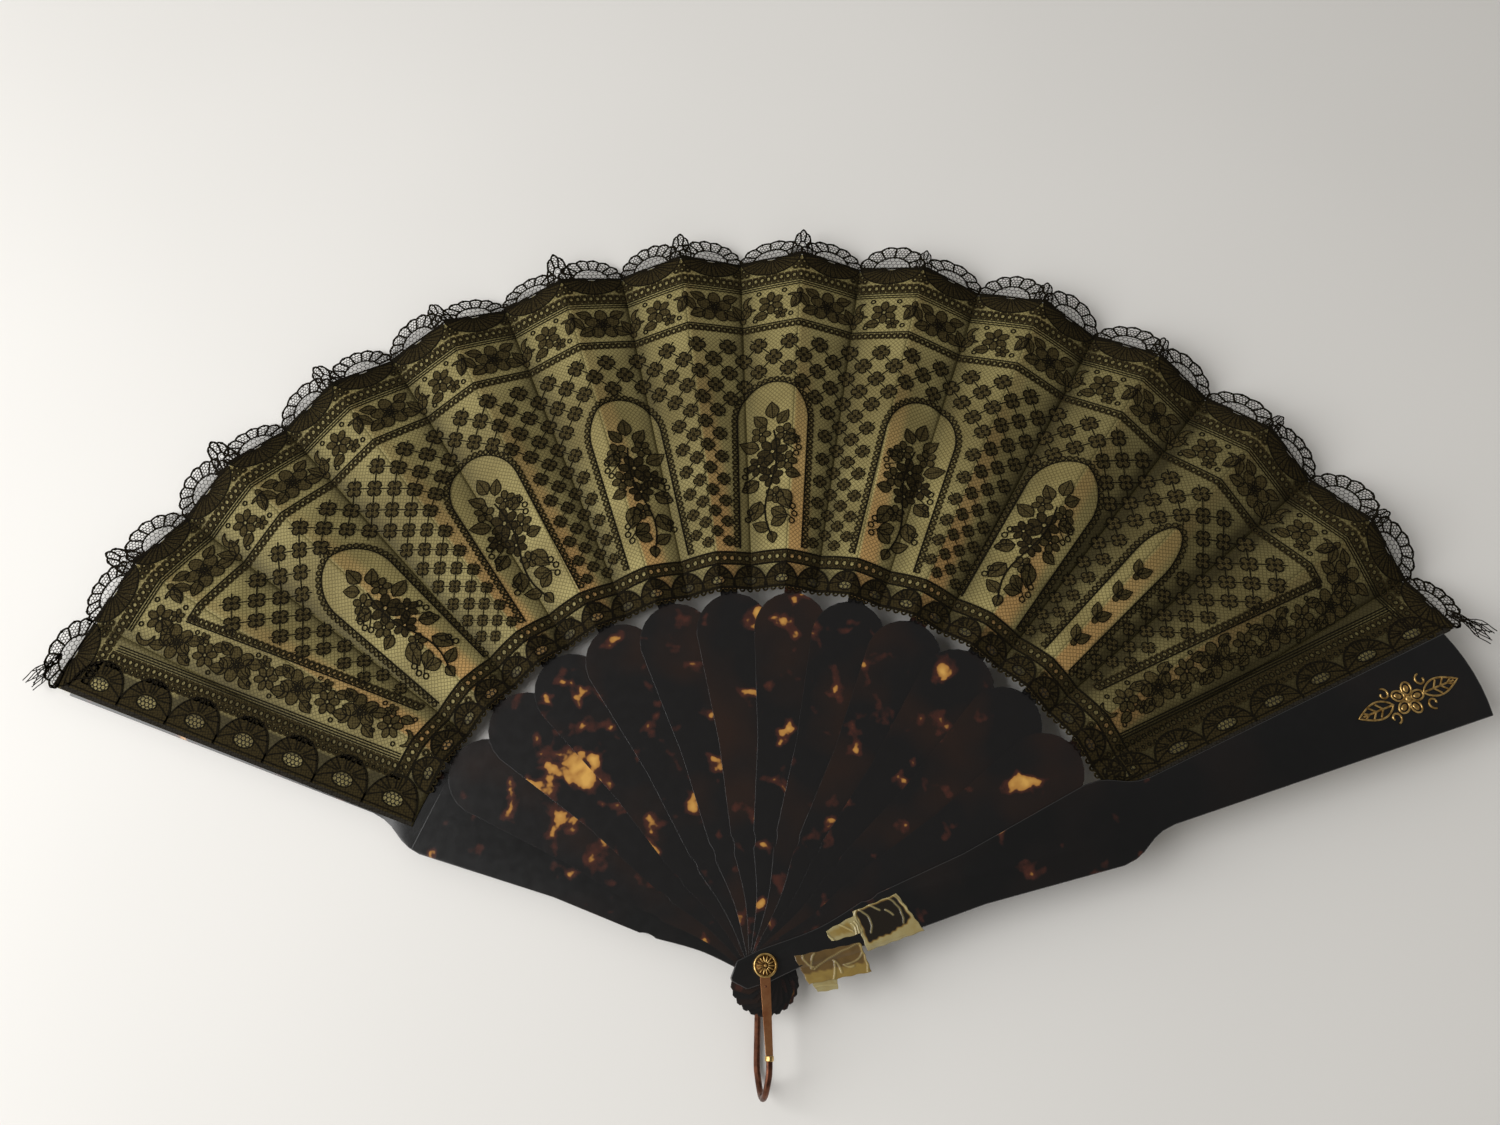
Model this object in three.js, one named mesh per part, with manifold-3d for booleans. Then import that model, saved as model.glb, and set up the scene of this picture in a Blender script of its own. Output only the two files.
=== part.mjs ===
// Folding fan with a pleated silk and lace leaf on tortoiseshell sticks.
// Millimetres, +Z up. The rivet is on the Z axis, the fan lies open on its back and is symmetric about +Y.
// The rear guard is the lowest layer on the left, the front guard is the highest layer on the right.
import * as THREE from 'three';
import { mergeVertices } from 'three/addons/utils/BufferGeometryUtils.js';
import Module from 'manifold-3d';

const wasm = await Module();
wasm.setup();

// Fan as a whole
const STICK_COUNT = 12;
const OPEN_ANGLE = 135.2;
const GUARD_REACH = 320;
const PITCH = OPEN_ANGLE / (STICK_COUNT + 1);
const REAR_ANGLE = 90 + OPEN_ANGLE / 2;
const STICK_SHIFT = 1.3;

// Pointed tails below the rivet, longest on the middle sticks
const TAIL_REACH = 19;
const TAIL_TAPER = 0.112;
const TAIL_POINT = 4.6;
const TAIL_HALF = 5.6;
const TAIL_BLUNT = 0.7;

// Blade that every stick and guard shares, as half widths at distances from the rivet
const HEAD_HALF = 6.2;
const WAIST_AT = 24;
const WAIST_HALF = 5.4;
const SHOULDER_AT = 44;
const SHOULDER_HALF = 8.3;
const NOTCH_TO = 51;
const NOTCH_HALF = 8.9;
const NOTCH_DIP = 1.2;
const FLARE_AT = 89;
const BLADE_HALF_ANGLE = 6.7;
const ARCH_AT = 137;
const ARCH_RISE = 17;

// Layers through the stack
const LAYER_GAP = 0.25;
const FOOT_HEIGHT = 1.2;
const EYE_THICK = 1.5;
const GUARD_THICK = 2.6;
const FRONT_GUARD_THICK = 3.0;
const STICK_THICK = 0.6;
const RIB_THICK = 0.35;

// Ribs that carry the leaf: they start inside the blade's arch and stop short of the guards' ends
const RIB_LAP = 8;
const RIB_SHORTFALL = 2;
const RIB_ROOT_WIDTH = 7.6;
const RIB_TIP_WIDTH = 4;
const RIB_ROOT_AT = ARCH_AT + RIB_LAP;
const RIB_REACH = GUARD_REACH - RIB_SHORTFALL;

// Upper part of the guards, a slim wedge beyond the blade
const GUARD_HALF_ANGLE = 3.4;
const GUARD_SHOULDER_LEAD = 10;
const GUARD_NARROWING = 26;
const GUARD_END_BULGE = 2.5;
const GUARD_SHOULDER_AT = ARCH_AT + GUARD_SHOULDER_LEAD;
const GUARD_WEDGE_AT = GUARD_SHOULDER_AT + GUARD_NARROWING;

// Leaf: silk ground with lace over it, from just beyond the arches to just beyond the guards' ends
const LEAF_CLEARANCE = 1.5;
const LEAF_OVERHANG = 5;
const LEAF_TUCK = 4;
const LEAF_SEAT_MARGIN = 4.5;
const LEAF_SEAT_DEPTH = 1.0;
const LEAF_INNER = ARCH_AT + ARCH_RISE + LEAF_CLEARANCE;
const LEAF_OUTER = GUARD_REACH + LEAF_OVERHANG;
const LEAF_SEAT_AT = LEAF_INNER - LEAF_SEAT_MARGIN;
const FOLD_LEAD = 1.6;
const PLEAT_DEPTH = 11;
const SILK_THICK = 0.25;
const LACE_THICK = 0.25;
const LEAF_GAP = 0.15;
const RIB_CLEARANCE = 0.3;
const PIECE_GAP = 0.3;
const LEAF_LOWEST = 0.7;
const LEAF_EDGE_MARGIN = 0.15;
const SCALLOP_DEPTH = 12;
const SCALLOP_CUSP_SHARE = 0.25;
const PANEL_STEPS = 6;
const PANEL_ANGLE = PITCH / 2;

// Rivet and bail
const PIN_RADIUS = 1.5;
const PIN_CLEARANCE = 0.3;
const FOOT_RADIUS = 4.5;
const ROSETTE_RADIUS = 4.6;
const ROSETTE_SHOULDER_RADIUS = 3.2;
const ROSETTE_CROWN_RADIUS = 1.6;
const ROSETTE_RIM = 0.9;
const ROSETTE_HEIGHT = 2.6;
const SEAT_GAP = 0.1;
const EYE_RADIUS = 4.3;
const BAIL_REACH = 49;
const BAIL_WIRE_RADIUS = 1.25;
const STRAP_ROOT_HALF = 2.0;
const STRAP_TIP_HALF = 1.4;
const FERRULE_AT = 32;
const FERRULE_LENGTH = 2;
const FERRULE_RADIUS = 1.75;
const BAIL_FRONT_LEAN = 2.0;
const BAIL_REAR_LEAN = -2.5;

// How finely curves are divided
const ROUND_SIDES = 20;
const WIRE_SIDES = 10;
const WIRE_STEPS = 28;
const BEND_STEPS = 10;
const OUTLINE_STEPS = 6;
const RING_STEPS = 10;
const PETAL_STEPS = 8;

// Mended neck of the front guard and the gilt sprig near its end
const TAPE_THICK = 0.25;
const SHANK_TAPE_FROM = 39;
const SHANK_TAPE_TO = 58;
const SHANK_TAPE_SLANT = 4.5;
const SHANK_TAPE_INSIDE = 6;
const LOOSE_END_AT = 26.5;
const LOOSE_END_INSIDE = 3.1;
const LOOSE_END_WIDTH = 4.3;
const LOOSE_END_SPREAD = 1.5;
const NECK_TAPE_FROM = 11.5;
const NECK_TAPE_TO = 37.5;
const NECK_TAPE_INSIDE = -1;
const NECK_TAPE_WIDTH = 11.5;
const NECK_TAPE_SLANT = 4.6;
const NECK_TAPE_LEAN = 1.6;
const SPRIG_FROM_END = 32;
const SPRIG_AT = GUARD_REACH - SPRIG_FROM_END;
const SPRIG_THICK = 0.4;
const SPRIG_PETALS = 5;
const SPRIG_PETAL_DEPTH = 2.8;
const SPRIG_FLOWER_RADIUS = 7;
const SPRIG_LEAF_LENGTH = 17;
const SPRIG_LEAF_HALF = 3.2;

// Heights that follow from the layers
const BAIL_REAR_Z = FOOT_HEIGHT + LAYER_GAP;
const REAR_GUARD_Z = BAIL_REAR_Z + EYE_THICK + LAYER_GAP;
const FIRST_STICK_Z = REAR_GUARD_Z + GUARD_THICK + LAYER_GAP;
const LAYER_STEP = STICK_THICK + LAYER_GAP;
const FRONT_GUARD_Z = FIRST_STICK_Z + STICK_COUNT * LAYER_STEP;
const FRONT_GUARD_TOP = FRONT_GUARD_Z + FRONT_GUARD_THICK;
const BAIL_FRONT_Z = FRONT_GUARD_TOP + LAYER_GAP;
const ROSETTE_Z = BAIL_FRONT_Z + EYE_THICK + LAYER_GAP;
const HOLE_RADIUS = PIN_RADIUS + PIN_CLEARANCE;

const FINISH = {
  shell: new THREE.MeshStandardMaterial({ color: 0x1d1310, roughness: 0.28, metalness: 0 }),
  silk: new THREE.MeshStandardMaterial({ color: 0x8f8248, roughness: 0.6, metalness: 0 }),
  lace: new THREE.MeshStandardMaterial({ color: 0x17140f, roughness: 0.8, metalness: 0 }),
  copper: new THREE.MeshStandardMaterial({ color: 0x8a5232, roughness: 0.35, metalness: 1 }),
  gilt: new THREE.MeshStandardMaterial({ color: 0xc79a4b, roughness: 0.3, metalness: 1 }),
  tape: new THREE.MeshStandardMaterial({ color: 0xb8a060, roughness: 0.3, metalness: 0 }),
};

const fan = new THREE.Group();
fan.name = 'folding_fan';

const radians = THREE.MathUtils.degToRad;
const twoDigits = (number) => String(number).padStart(2, '0');
const halfWidthAt = (reach, angle) => reach * Math.tan(radians(angle));

/** Angle of a stick's centre line, where 0 is the rear guard and STICK_COUNT + 1 the front guard. */
function stickAngle(index) {
  const isGuard = index === 0 || index > STICK_COUNT;
  return REAR_ANGLE - PITCH * index + (isGuard ? 0 : STICK_SHIFT);
}

/** Adds a named piece to a parent group. */
function addPiece(parent, name, geometry, material) {
  const mesh = new THREE.Mesh(geometry, material);
  mesh.name = name;
  parent.add(mesh);
  return mesh;
}

/** Turns a closed geometry into a solid that can be joined and cut. */
function toSolid(geometry) {
  const bare = geometry.index ? geometry.toNonIndexed() : geometry.clone();
  bare.deleteAttribute('normal');
  bare.deleteAttribute('uv');
  const merged = mergeVertices(bare, 1e-4);
  return new wasm.Manifold(new wasm.Mesh({
    numProp: 3,
    vertProperties: new Float32Array(merged.attributes.position.array),
    triVerts: new Uint32Array(merged.index.array),
  }));
}

/** Turns a solid back into a geometry. */
function toGeometry(solid) {
  const mesh = solid.getMesh();
  const geometry = new THREE.BufferGeometry();
  geometry.setAttribute('position', new THREE.BufferAttribute(new Float32Array(mesh.vertProperties), 3));
  geometry.setIndex(new THREE.BufferAttribute(new Uint32Array(mesh.triVerts), 1));
  geometry.computeVertexNormals();
  return geometry;
}

/** Joins several overlapping geometries into one closed body. */
function join(...geometries) {
  const solids = geometries.map(toSolid);
  return toGeometry(solids.reduce((whole, solid) => whole.add(solid)));
}

/** Extrudes a flat outline from one height to another. */
function plate(shape, fromZ, toZ, curveSegments = RING_STEPS) {
  const geometry = new THREE.ExtrudeGeometry(shape, { depth: toZ - fromZ, bevelEnabled: false, curveSegments });
  return geometry.translate(0, 0, fromZ);
}

/** A round hole for the rivet pin, as a path in an outline. */
function pinHole() {
  return new THREE.Path().absarc(0, 0, HOLE_RADIUS, 0, 2 * Math.PI, true);
}

/** How far the tail of a stick or guard reaches past the rivet. */
function tailReach(index) {
  const fromMiddle = index - (STICK_COUNT + 1) / 2;
  return TAIL_REACH - TAIL_TAPER * fromMiddle ** 2;
}

/** Starts an outline at the pointed tail and runs up the right side, past its notch, to the flare. */
function startBlade(tail) {
  const notchMiddle = (SHOULDER_AT + NOTCH_TO) / 2;
  const shape = new THREE.Shape();
  shape.moveTo(-tail, TAIL_BLUNT);
  shape.lineTo(-tail, -TAIL_BLUNT);
  shape.lineTo(-tail + TAIL_POINT, -TAIL_HALF);
  shape.lineTo(0, -HEAD_HALF);
  shape.splineThru([
    new THREE.Vector2(WAIST_AT, -WAIST_HALF),
    new THREE.Vector2(SHOULDER_AT, -SHOULDER_HALF),
  ]);
  shape.quadraticCurveTo(notchMiddle, -SHOULDER_HALF + NOTCH_DIP, NOTCH_TO, -NOTCH_HALF);
  shape.lineTo(FLARE_AT, -halfWidthAt(FLARE_AT, BLADE_HALF_ANGLE));
  return shape;
}

/** Runs down the left side from the flare and closes the outline at the tail. */
function endBlade(shape, tail) {
  const notchMiddle = (SHOULDER_AT + NOTCH_TO) / 2;
  shape.lineTo(FLARE_AT, halfWidthAt(FLARE_AT, BLADE_HALF_ANGLE));
  shape.lineTo(NOTCH_TO, NOTCH_HALF);
  shape.quadraticCurveTo(notchMiddle, SHOULDER_HALF - NOTCH_DIP, SHOULDER_AT, SHOULDER_HALF);
  shape.splineThru([
    new THREE.Vector2(WAIST_AT, WAIST_HALF),
    new THREE.Vector2(0, HEAD_HALF),
  ]);
  shape.lineTo(-tail + TAIL_POINT, TAIL_HALF);
  shape.closePath();
  shape.holes.push(pinHole());
  return shape;
}

/** Outline of an inner stick's blade, with a round arch at its top. */
function stickBlade(tail) {
  const archHalf = halfWidthAt(ARCH_AT, BLADE_HALF_ANGLE);
  const shape = startBlade(tail);
  shape.lineTo(ARCH_AT, -archHalf);
  shape.absellipse(ARCH_AT, 0, ARCH_RISE, archHalf, -Math.PI / 2, Math.PI / 2, false);
  return endBlade(shape, tail);
}

/** Outline of a guard, whose blade narrows to a slim wedge under the leaf's end. */
function guardOutline(tail) {
  const shoulderHalf = halfWidthAt(GUARD_SHOULDER_AT, BLADE_HALF_ANGLE);
  const wedgeHalf = halfWidthAt(GUARD_WEDGE_AT, GUARD_HALF_ANGLE);
  const endHalf = halfWidthAt(GUARD_REACH, GUARD_HALF_ANGLE);
  const bendAt = (GUARD_SHOULDER_AT + GUARD_WEDGE_AT) / 2;
  const shape = startBlade(tail);
  shape.lineTo(GUARD_SHOULDER_AT, -shoulderHalf);
  shape.bezierCurveTo(bendAt, -shoulderHalf, bendAt, -wedgeHalf, GUARD_WEDGE_AT, -wedgeHalf);
  shape.lineTo(GUARD_REACH - GUARD_END_BULGE, -endHalf);
  shape.quadraticCurveTo(GUARD_REACH + GUARD_END_BULGE, 0, GUARD_REACH - GUARD_END_BULGE, endHalf);
  shape.lineTo(GUARD_WEDGE_AT, wedgeHalf);
  shape.bezierCurveTo(bendAt, wedgeHalf, bendAt, shoulderHalf, GUARD_SHOULDER_AT, shoulderHalf);
  return endBlade(shape, tail);
}

/** Rectangle between two corners, as an outline. */
function rectangle(fromX, fromY, toX, toY) {
  const shape = new THREE.Shape();
  shape.moveTo(fromX, fromY);
  shape.lineTo(toX, fromY);
  shape.lineTo(toX, toY);
  shape.lineTo(fromX, toY);
  shape.closePath();
  return shape;
}

/** A guard with the seat for the leaf's end cut into one of its faces. */
function guard(tail, fromZ, toZ, seatFromZ, seatToZ) {
  const wide = GUARD_REACH;
  const seat = plate(rectangle(LEAF_SEAT_AT, -wide, GUARD_REACH + wide, wide), seatFromZ, seatToZ);
  const blade = plate(guardOutline(tail), fromZ, toZ, OUTLINE_STEPS);
  return toGeometry(toSolid(blade).subtract(toSolid(seat)));
}

/** Width of a rib at a distance from the rivet. */
function ribWidth(reach) {
  const share = (reach - LEAF_INNER) / (RIB_REACH - LEAF_INNER);
  return RIB_ROOT_WIDTH + (RIB_TIP_WIDTH - RIB_ROOT_WIDTH) * share;
}

/** Outline of a rib: its left side follows the mountain fold that it carries. */
function ribOutline() {
  const leftAt = (reach) => halfWidthAt(reach, FOLD_LEAD);
  const shape = new THREE.Shape();
  shape.moveTo(RIB_ROOT_AT, leftAt(RIB_ROOT_AT) - ribWidth(RIB_ROOT_AT));
  shape.lineTo(RIB_REACH, leftAt(RIB_REACH) - ribWidth(RIB_REACH));
  shape.lineTo(RIB_REACH, leftAt(RIB_REACH));
  shape.lineTo(RIB_ROOT_AT, leftAt(RIB_ROOT_AT));
  shape.closePath();
  return shape;
}

/** Height of the underside of an inner stick. */
function stickZ(index) {
  return FIRST_STICK_Z + (index - 1) * LAYER_STEP;
}

/** An inner stick: a flat blade and the thinner rib that runs on under the leaf. */
function stick(index) {
  const bottom = stickZ(index);
  const blade = plate(stickBlade(tailReach(index)), bottom, bottom + STICK_THICK, OUTLINE_STEPS);
  const rib = plate(ribOutline(), bottom, bottom + RIB_THICK);
  return join(blade, rib);
}

/** A fold line of the leaf, straight from its inner to its outer edge, with the silk's underside on it. */
function foldLine(angle, innerZ, outerZ) {
  const rise = (outerZ - innerZ) / (LEAF_OUTER - LEAF_INNER);
  return { angle, heightAt: (reach) => innerZ + rise * (reach - LEAF_INNER) };
}

/** Height that lifts a panel's underside clear of the rib that it slopes across. */
function ribLift(reach) {
  const slope = PLEAT_DEPTH / (LEAF_OUTER * radians(PANEL_ANGLE));
  return RIB_CLEARANCE + ribWidth(reach) * slope;
}

/** Mountain fold over an inner stick. */
function mountainFold(index) {
  const ribTop = stickZ(index) + RIB_THICK;
  const angle = stickAngle(index) + FOLD_LEAD;
  return foldLine(angle, ribTop + ribLift(LEAF_INNER), ribTop + ribLift(LEAF_OUTER));
}

/** Valley fold after an inner stick, one pleat's depth below the mountains and never under the foot. */
function valleyFold(index) {
  const mountain = mountainFold(index);
  const below = (reach) => {
    const level = mountain.heightAt(reach) + LAYER_STEP / 2 - PLEAT_DEPTH * reach / LEAF_OUTER;
    return Math.max(level, LEAF_LOWEST);
  };
  return foldLine(mountain.angle - PANEL_ANGLE, below(LEAF_INNER), below(LEAF_OUTER));
}

/** The fold lines that bound and crease one piece of the leaf, from left to right. */
function leafFolds(index) {
  const rearSeat = REAR_GUARD_Z + GUARD_THICK - LEAF_SEAT_DEPTH + LEAF_GAP;
  const frontSeat = FRONT_GUARD_Z + LEAF_SEAT_DEPTH - 2 * LEAF_GAP - LACE_THICK - SILK_THICK;
  const rearValley = foldLine(mountainFold(1).angle + PANEL_ANGLE, rearSeat, rearSeat);
  const edgeAngle = GUARD_HALF_ANGLE - LEAF_EDGE_MARGIN;
  if (index === 0) {
    return [foldLine(REAR_ANGLE + edgeAngle, rearSeat, rearSeat), rearValley];
  }
  if (index > STICK_COUNT) {
    const centre = stickAngle(STICK_COUNT + 1);
    return [
      valleyFold(STICK_COUNT),
      foldLine(centre + GUARD_HALF_ANGLE, frontSeat, frontSeat),
      foldLine(centre - edgeAngle, frontSeat, frontSeat),
    ];
  }
  const before = index === 1 ? rearValley : valleyFold(index - 1);
  return [before, mountainFold(index), valleyFold(index)];
}

/** A closed thin sheet over rows of points: each row runs outwards, and rows follow each other clockwise. */
function sheet(rows, thickness) {
  const rowLength = rows[0].length;
  const count = rows.length * rowLength;
  const under = rows.flat();
  const positions = [];
  under.forEach((point) => positions.push(point.x, point.y, point.z));
  under.forEach((point) => positions.push(point.x, point.y, point.z + thickness));
  const index = [];
  const quad = (a, b, c, d) => index.push(a, b, c, a, c, d);
  const at = (row, step) => row * rowLength + step;
  for (let row = 0; row + 1 < rows.length; row += 1) {
    for (let step = 0; step + 1 < rowLength; step += 1) {
      const [a, b, c, d] = [at(row, step), at(row + 1, step), at(row + 1, step + 1), at(row, step + 1)];
      quad(a + count, b + count, c + count, d + count);
      index.push(a, c, b, a, d, c);
    }
  }
  const rim = [];
  for (let row = 0; row < rows.length; row += 1) rim.push(at(row, 0));
  for (let step = 1; step < rowLength; step += 1) rim.push(at(rows.length - 1, step));
  for (let row = rows.length - 2; row >= 0; row -= 1) rim.push(at(row, rowLength - 1));
  for (let step = rowLength - 2; step > 0; step -= 1) rim.push(at(0, step));
  rim.forEach((corner, place) => {
    const next = rim[(place + 1) % rim.length];
    quad(corner, next, next + count, corner + count);
  });
  const geometry = new THREE.BufferGeometry();
  geometry.setAttribute('position', new THREE.Float32BufferAttribute(positions, 3));
  geometry.setIndex(index);
  geometry.computeVertexNormals();
  return geometry;
}

/** A piece of the leaf across its folds, drawn in at both ends to leave a gap to the next. */
function leafPiece(folds, lift, thickness, reachesAt) {
  const rows = [];
  folds.slice(0, -1).forEach((fold, panel) => {
    const next = folds[panel + 1];
    const last = panel === folds.length - 2;
    const lastStep = last ? PANEL_STEPS : PANEL_STEPS - 1;
    for (let step = 0; step <= lastStep; step += 1) {
      const share = step / PANEL_STEPS;
      const turn = radians(fold.angle + (next.angle - fold.angle) * share);
      const atStart = panel === 0 && step === 0;
      const atEnd = last && step === PANEL_STEPS;
      const inset = (atStart ? -1 : 0) + (atEnd ? 1 : 0);
      rows.push(reachesAt(panel, share).map((reach) => {
        const height = fold.heightAt(reach) + (next.heightAt(reach) - fold.heightAt(reach)) * share;
        const point = new THREE.Vector3(Math.cos(turn), Math.sin(turn), 0).multiplyScalar(reach);
        const aside = new THREE.Vector3(-Math.sin(turn), Math.cos(turn), 0);
        point.addScaledVector(aside, inset * PIECE_GAP / 2);
        return point.setZ(height + lift);
      }));
    }
  });
  return sheet(rows, thickness);
}

/** Reach of the lace's scalloped edge at a share of one panel. */
function scallopReach(share) {
  const swell = Math.sqrt(Math.abs(Math.sin(Math.PI * share)));
  return LEAF_OUTER + SCALLOP_DEPTH * (SCALLOP_CUSP_SHARE + (1 - SCALLOP_CUSP_SHARE) * swell);
}

/** Whether a panel lies under the front guard, where the leaf stops short of the guard's end. */
function isTucked(index, panel) {
  return index > STICK_COUNT && panel > 0;
}

/** Reaches of the silk along one line from the rivet. */
function silkReaches(tucked) {
  return [LEAF_INNER, tucked ? GUARD_REACH - LEAF_TUCK : LEAF_OUTER];
}

/** Reaches of the lace along one line from the rivet, at a share of its panel. */
function laceReaches(tucked, share) {
  const silkEnd = silkReaches(tucked)[1];
  return tucked ? [LEAF_INNER, silkEnd - SCALLOP_DEPTH, silkEnd] : [LEAF_INNER, silkEnd, scallopReach(share)];
}

/** Solid of revolution about the rivet's axis, from a closed half profile. */
function turned(profile, sides = ROUND_SIDES) {
  const points = profile.map(([radius, z]) => new THREE.Vector2(radius, z));
  return new THREE.LatheGeometry(points, sides).rotateX(Math.PI / 2);
}

/** Rivet: the pin, the plain foot that the fan lies on and the domed head. */
function addRivet() {
  const pinFrom = FOOT_HEIGHT + SEAT_GAP;
  const pinTo = ROSETTE_Z - SEAT_GAP;
  const domeTop = ROSETTE_Z + ROSETTE_HEIGHT;
  const domeShoulder = ROSETTE_Z + (ROSETTE_HEIGHT + ROSETTE_RIM) / 2;
  addPiece(fan, 'rivet_pin', turned([
    [0, pinFrom], [PIN_RADIUS, pinFrom], [PIN_RADIUS, pinTo], [0, pinTo],
  ]), FINISH.copper);
  addPiece(fan, 'rivet_foot', turned([
    [0, 0], [FOOT_RADIUS, 0], [FOOT_RADIUS, FOOT_HEIGHT], [0, FOOT_HEIGHT],
  ]), FINISH.copper);
  addPiece(fan, 'rivet_rosette', turned([
    [0, ROSETTE_Z], [ROSETTE_RADIUS, ROSETTE_Z], [ROSETTE_RADIUS, ROSETTE_Z + ROSETTE_RIM],
    [ROSETTE_SHOULDER_RADIUS, domeShoulder], [ROSETTE_CROWN_RADIUS, domeTop], [0, domeTop],
  ]), FINISH.gilt);
}

/** An eye round the rivet pin with a tapering tongue that points along -Y. */
function eyeAndTongue(reach, rootHalf, tipHalf, lean) {
  const meetAt = -Math.sqrt(EYE_RADIUS ** 2 - rootHalf ** 2);
  const shape = new THREE.Shape();
  shape.moveTo(rootHalf, meetAt);
  const fromAngle = Math.atan2(meetAt, rootHalf);
  shape.absarc(0, 0, EYE_RADIUS, fromAngle, Math.PI - fromAngle, false);
  shape.lineTo(lean - tipHalf, -reach);
  shape.lineTo(lean + tipHalf, -reach);
  shape.closePath();
  shape.holes.push(pinHole());
  return shape;
}

/** A round bar along a curve. */
function bar(curve, radius, steps) {
  const section = new THREE.Shape().absarc(0, 0, radius, 0, 2 * Math.PI, false);
  return new THREE.ExtrudeGeometry(section, {
    extrudePath: curve, steps, curveSegments: WIRE_SIDES / 2, bevelEnabled: false,
  });
}

/** Bail: a flat front arm, a ferrule and a wire loop that comes back under the stack to the rear eye. */
function addBail() {
  const frontZ = BAIL_FRONT_Z + EYE_THICK / 2;
  const rearZ = REAR_GUARD_Z - LAYER_GAP - BAIL_WIRE_RADIUS;
  const bendRadius = (frontZ - rearZ) / 2;
  const bendAt = BAIL_REACH - BAIL_WIRE_RADIUS - bendRadius;
  const middleZ = (frontZ + rearZ) / 2;
  const tongueReach = FOOT_RADIUS + BAIL_WIRE_RADIUS;
  const armReach = FERRULE_AT - SEAT_GAP;
  const loopFrom = FERRULE_AT + FERRULE_LENGTH + SEAT_GAP;
  const leanAt = (share) => BAIL_FRONT_LEAN + (BAIL_REAR_LEAN - BAIL_FRONT_LEAN) * share;
  const bail = new THREE.Group();
  fan.add(bail);

  const arm = plate(
    eyeAndTongue(armReach, STRAP_ROOT_HALF, STRAP_TIP_HALF, BAIL_FRONT_LEAN),
    BAIL_FRONT_Z, BAIL_FRONT_Z + EYE_THICK,
  );
  addPiece(bail, 'bail_front_arm', arm, FINISH.copper);

  const ferrule = new THREE.CylinderGeometry(FERRULE_RADIUS, FERRULE_RADIUS, FERRULE_LENGTH, ROUND_SIDES / 2);
  ferrule.translate(BAIL_FRONT_LEAN, -FERRULE_AT - FERRULE_LENGTH / 2, frontZ);
  addPiece(bail, 'bail_ferrule', ferrule, FINISH.gilt);

  const route = [new THREE.Vector3(BAIL_FRONT_LEAN, -loopFrom, frontZ)];
  for (let step = 0; step <= BEND_STEPS; step += 1) {
    const turn = Math.PI * step / BEND_STEPS;
    const y = -bendAt - bendRadius * Math.sin(turn);
    route.push(new THREE.Vector3(leanAt(step / BEND_STEPS), y, middleZ + bendRadius * Math.cos(turn)));
  }
  route.push(new THREE.Vector3(BAIL_REAR_LEAN, -(bendAt + tongueReach) / 2, rearZ));
  route.push(new THREE.Vector3(BAIL_REAR_LEAN, -tongueReach, rearZ));
  const wire = bar(new THREE.CatmullRomCurve3(route), BAIL_WIRE_RADIUS, WIRE_STEPS);
  const rearEye = plate(
    eyeAndTongue(tongueReach + 2 * BAIL_WIRE_RADIUS, STRAP_ROOT_HALF, STRAP_TIP_HALF, BAIL_REAR_LEAN),
    BAIL_REAR_Z, BAIL_REAR_Z + EYE_THICK,
  );
  addPiece(bail, 'bail_loop', join(wire, rearEye), FINISH.copper);
}

/** Tape over the guard's face that turns down over its right edge. */
function shankTape() {
  const top = FRONT_GUARD_TOP + SEAT_GAP;
  const widest = Math.max(SHOULDER_HALF, NOTCH_HALF, halfWidthAt(FLARE_AT, BLADE_HALF_ANGLE));
  const overhang = widest + PIECE_GAP + TAPE_THICK;
  const skirtBottom = FRONT_GUARD_Z + LAYER_GAP;
  const skirtEnd = SHANK_TAPE_TO + SHANK_TAPE_SLANT;
  const sheetPart = new THREE.Shape();
  sheetPart.moveTo(SHANK_TAPE_TO, SHANK_TAPE_INSIDE);
  sheetPart.lineTo(SHANK_TAPE_FROM, SHANK_TAPE_INSIDE);
  sheetPart.lineTo(SHANK_TAPE_FROM, LOOSE_END_INSIDE + LOOSE_END_SPREAD);
  sheetPart.lineTo(LOOSE_END_AT, LOOSE_END_INSIDE);
  sheetPart.lineTo(LOOSE_END_AT, LOOSE_END_INSIDE - LOOSE_END_WIDTH);
  sheetPart.lineTo(SHANK_TAPE_FROM, LOOSE_END_INSIDE - LOOSE_END_WIDTH - LOOSE_END_SPREAD);
  sheetPart.lineTo(SHANK_TAPE_FROM, -overhang);
  sheetPart.lineTo(skirtEnd, -overhang);
  sheetPart.closePath();
  const skirtPart = rectangle(SHANK_TAPE_FROM, -overhang, skirtEnd, -overhang + TAPE_THICK);
  return join(
    plate(sheetPart, top, top + TAPE_THICK),
    plate(skirtPart, skirtBottom, top + TAPE_THICK),
  );
}

/** Tape on the guard's neck, whose free flap stands out past the right edge. */
function neckTape() {
  const top = FRONT_GUARD_TOP + SEAT_GAP;
  const shape = new THREE.Shape();
  const far = NECK_TAPE_INSIDE - NECK_TAPE_SLANT;
  shape.moveTo(NECK_TAPE_FROM, NECK_TAPE_INSIDE);
  shape.lineTo(NECK_TAPE_FROM + NECK_TAPE_LEAN, NECK_TAPE_INSIDE - NECK_TAPE_WIDTH);
  shape.lineTo(NECK_TAPE_TO, far - NECK_TAPE_WIDTH);
  shape.lineTo(NECK_TAPE_TO, far);
  shape.closePath();
  return plate(shape, top, top + TAPE_THICK);
}

/** Pointed leaf along X between two places on the guard's centre line. */
function leafOutline(from, to, half) {
  const middle = (from + to) / 2;
  const shape = new THREE.Shape();
  shape.moveTo(from, 0);
  shape.quadraticCurveTo(middle, -2 * half, to, 0);
  shape.quadraticCurveTo(middle, 2 * half, from, 0);
  return shape;
}

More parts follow.
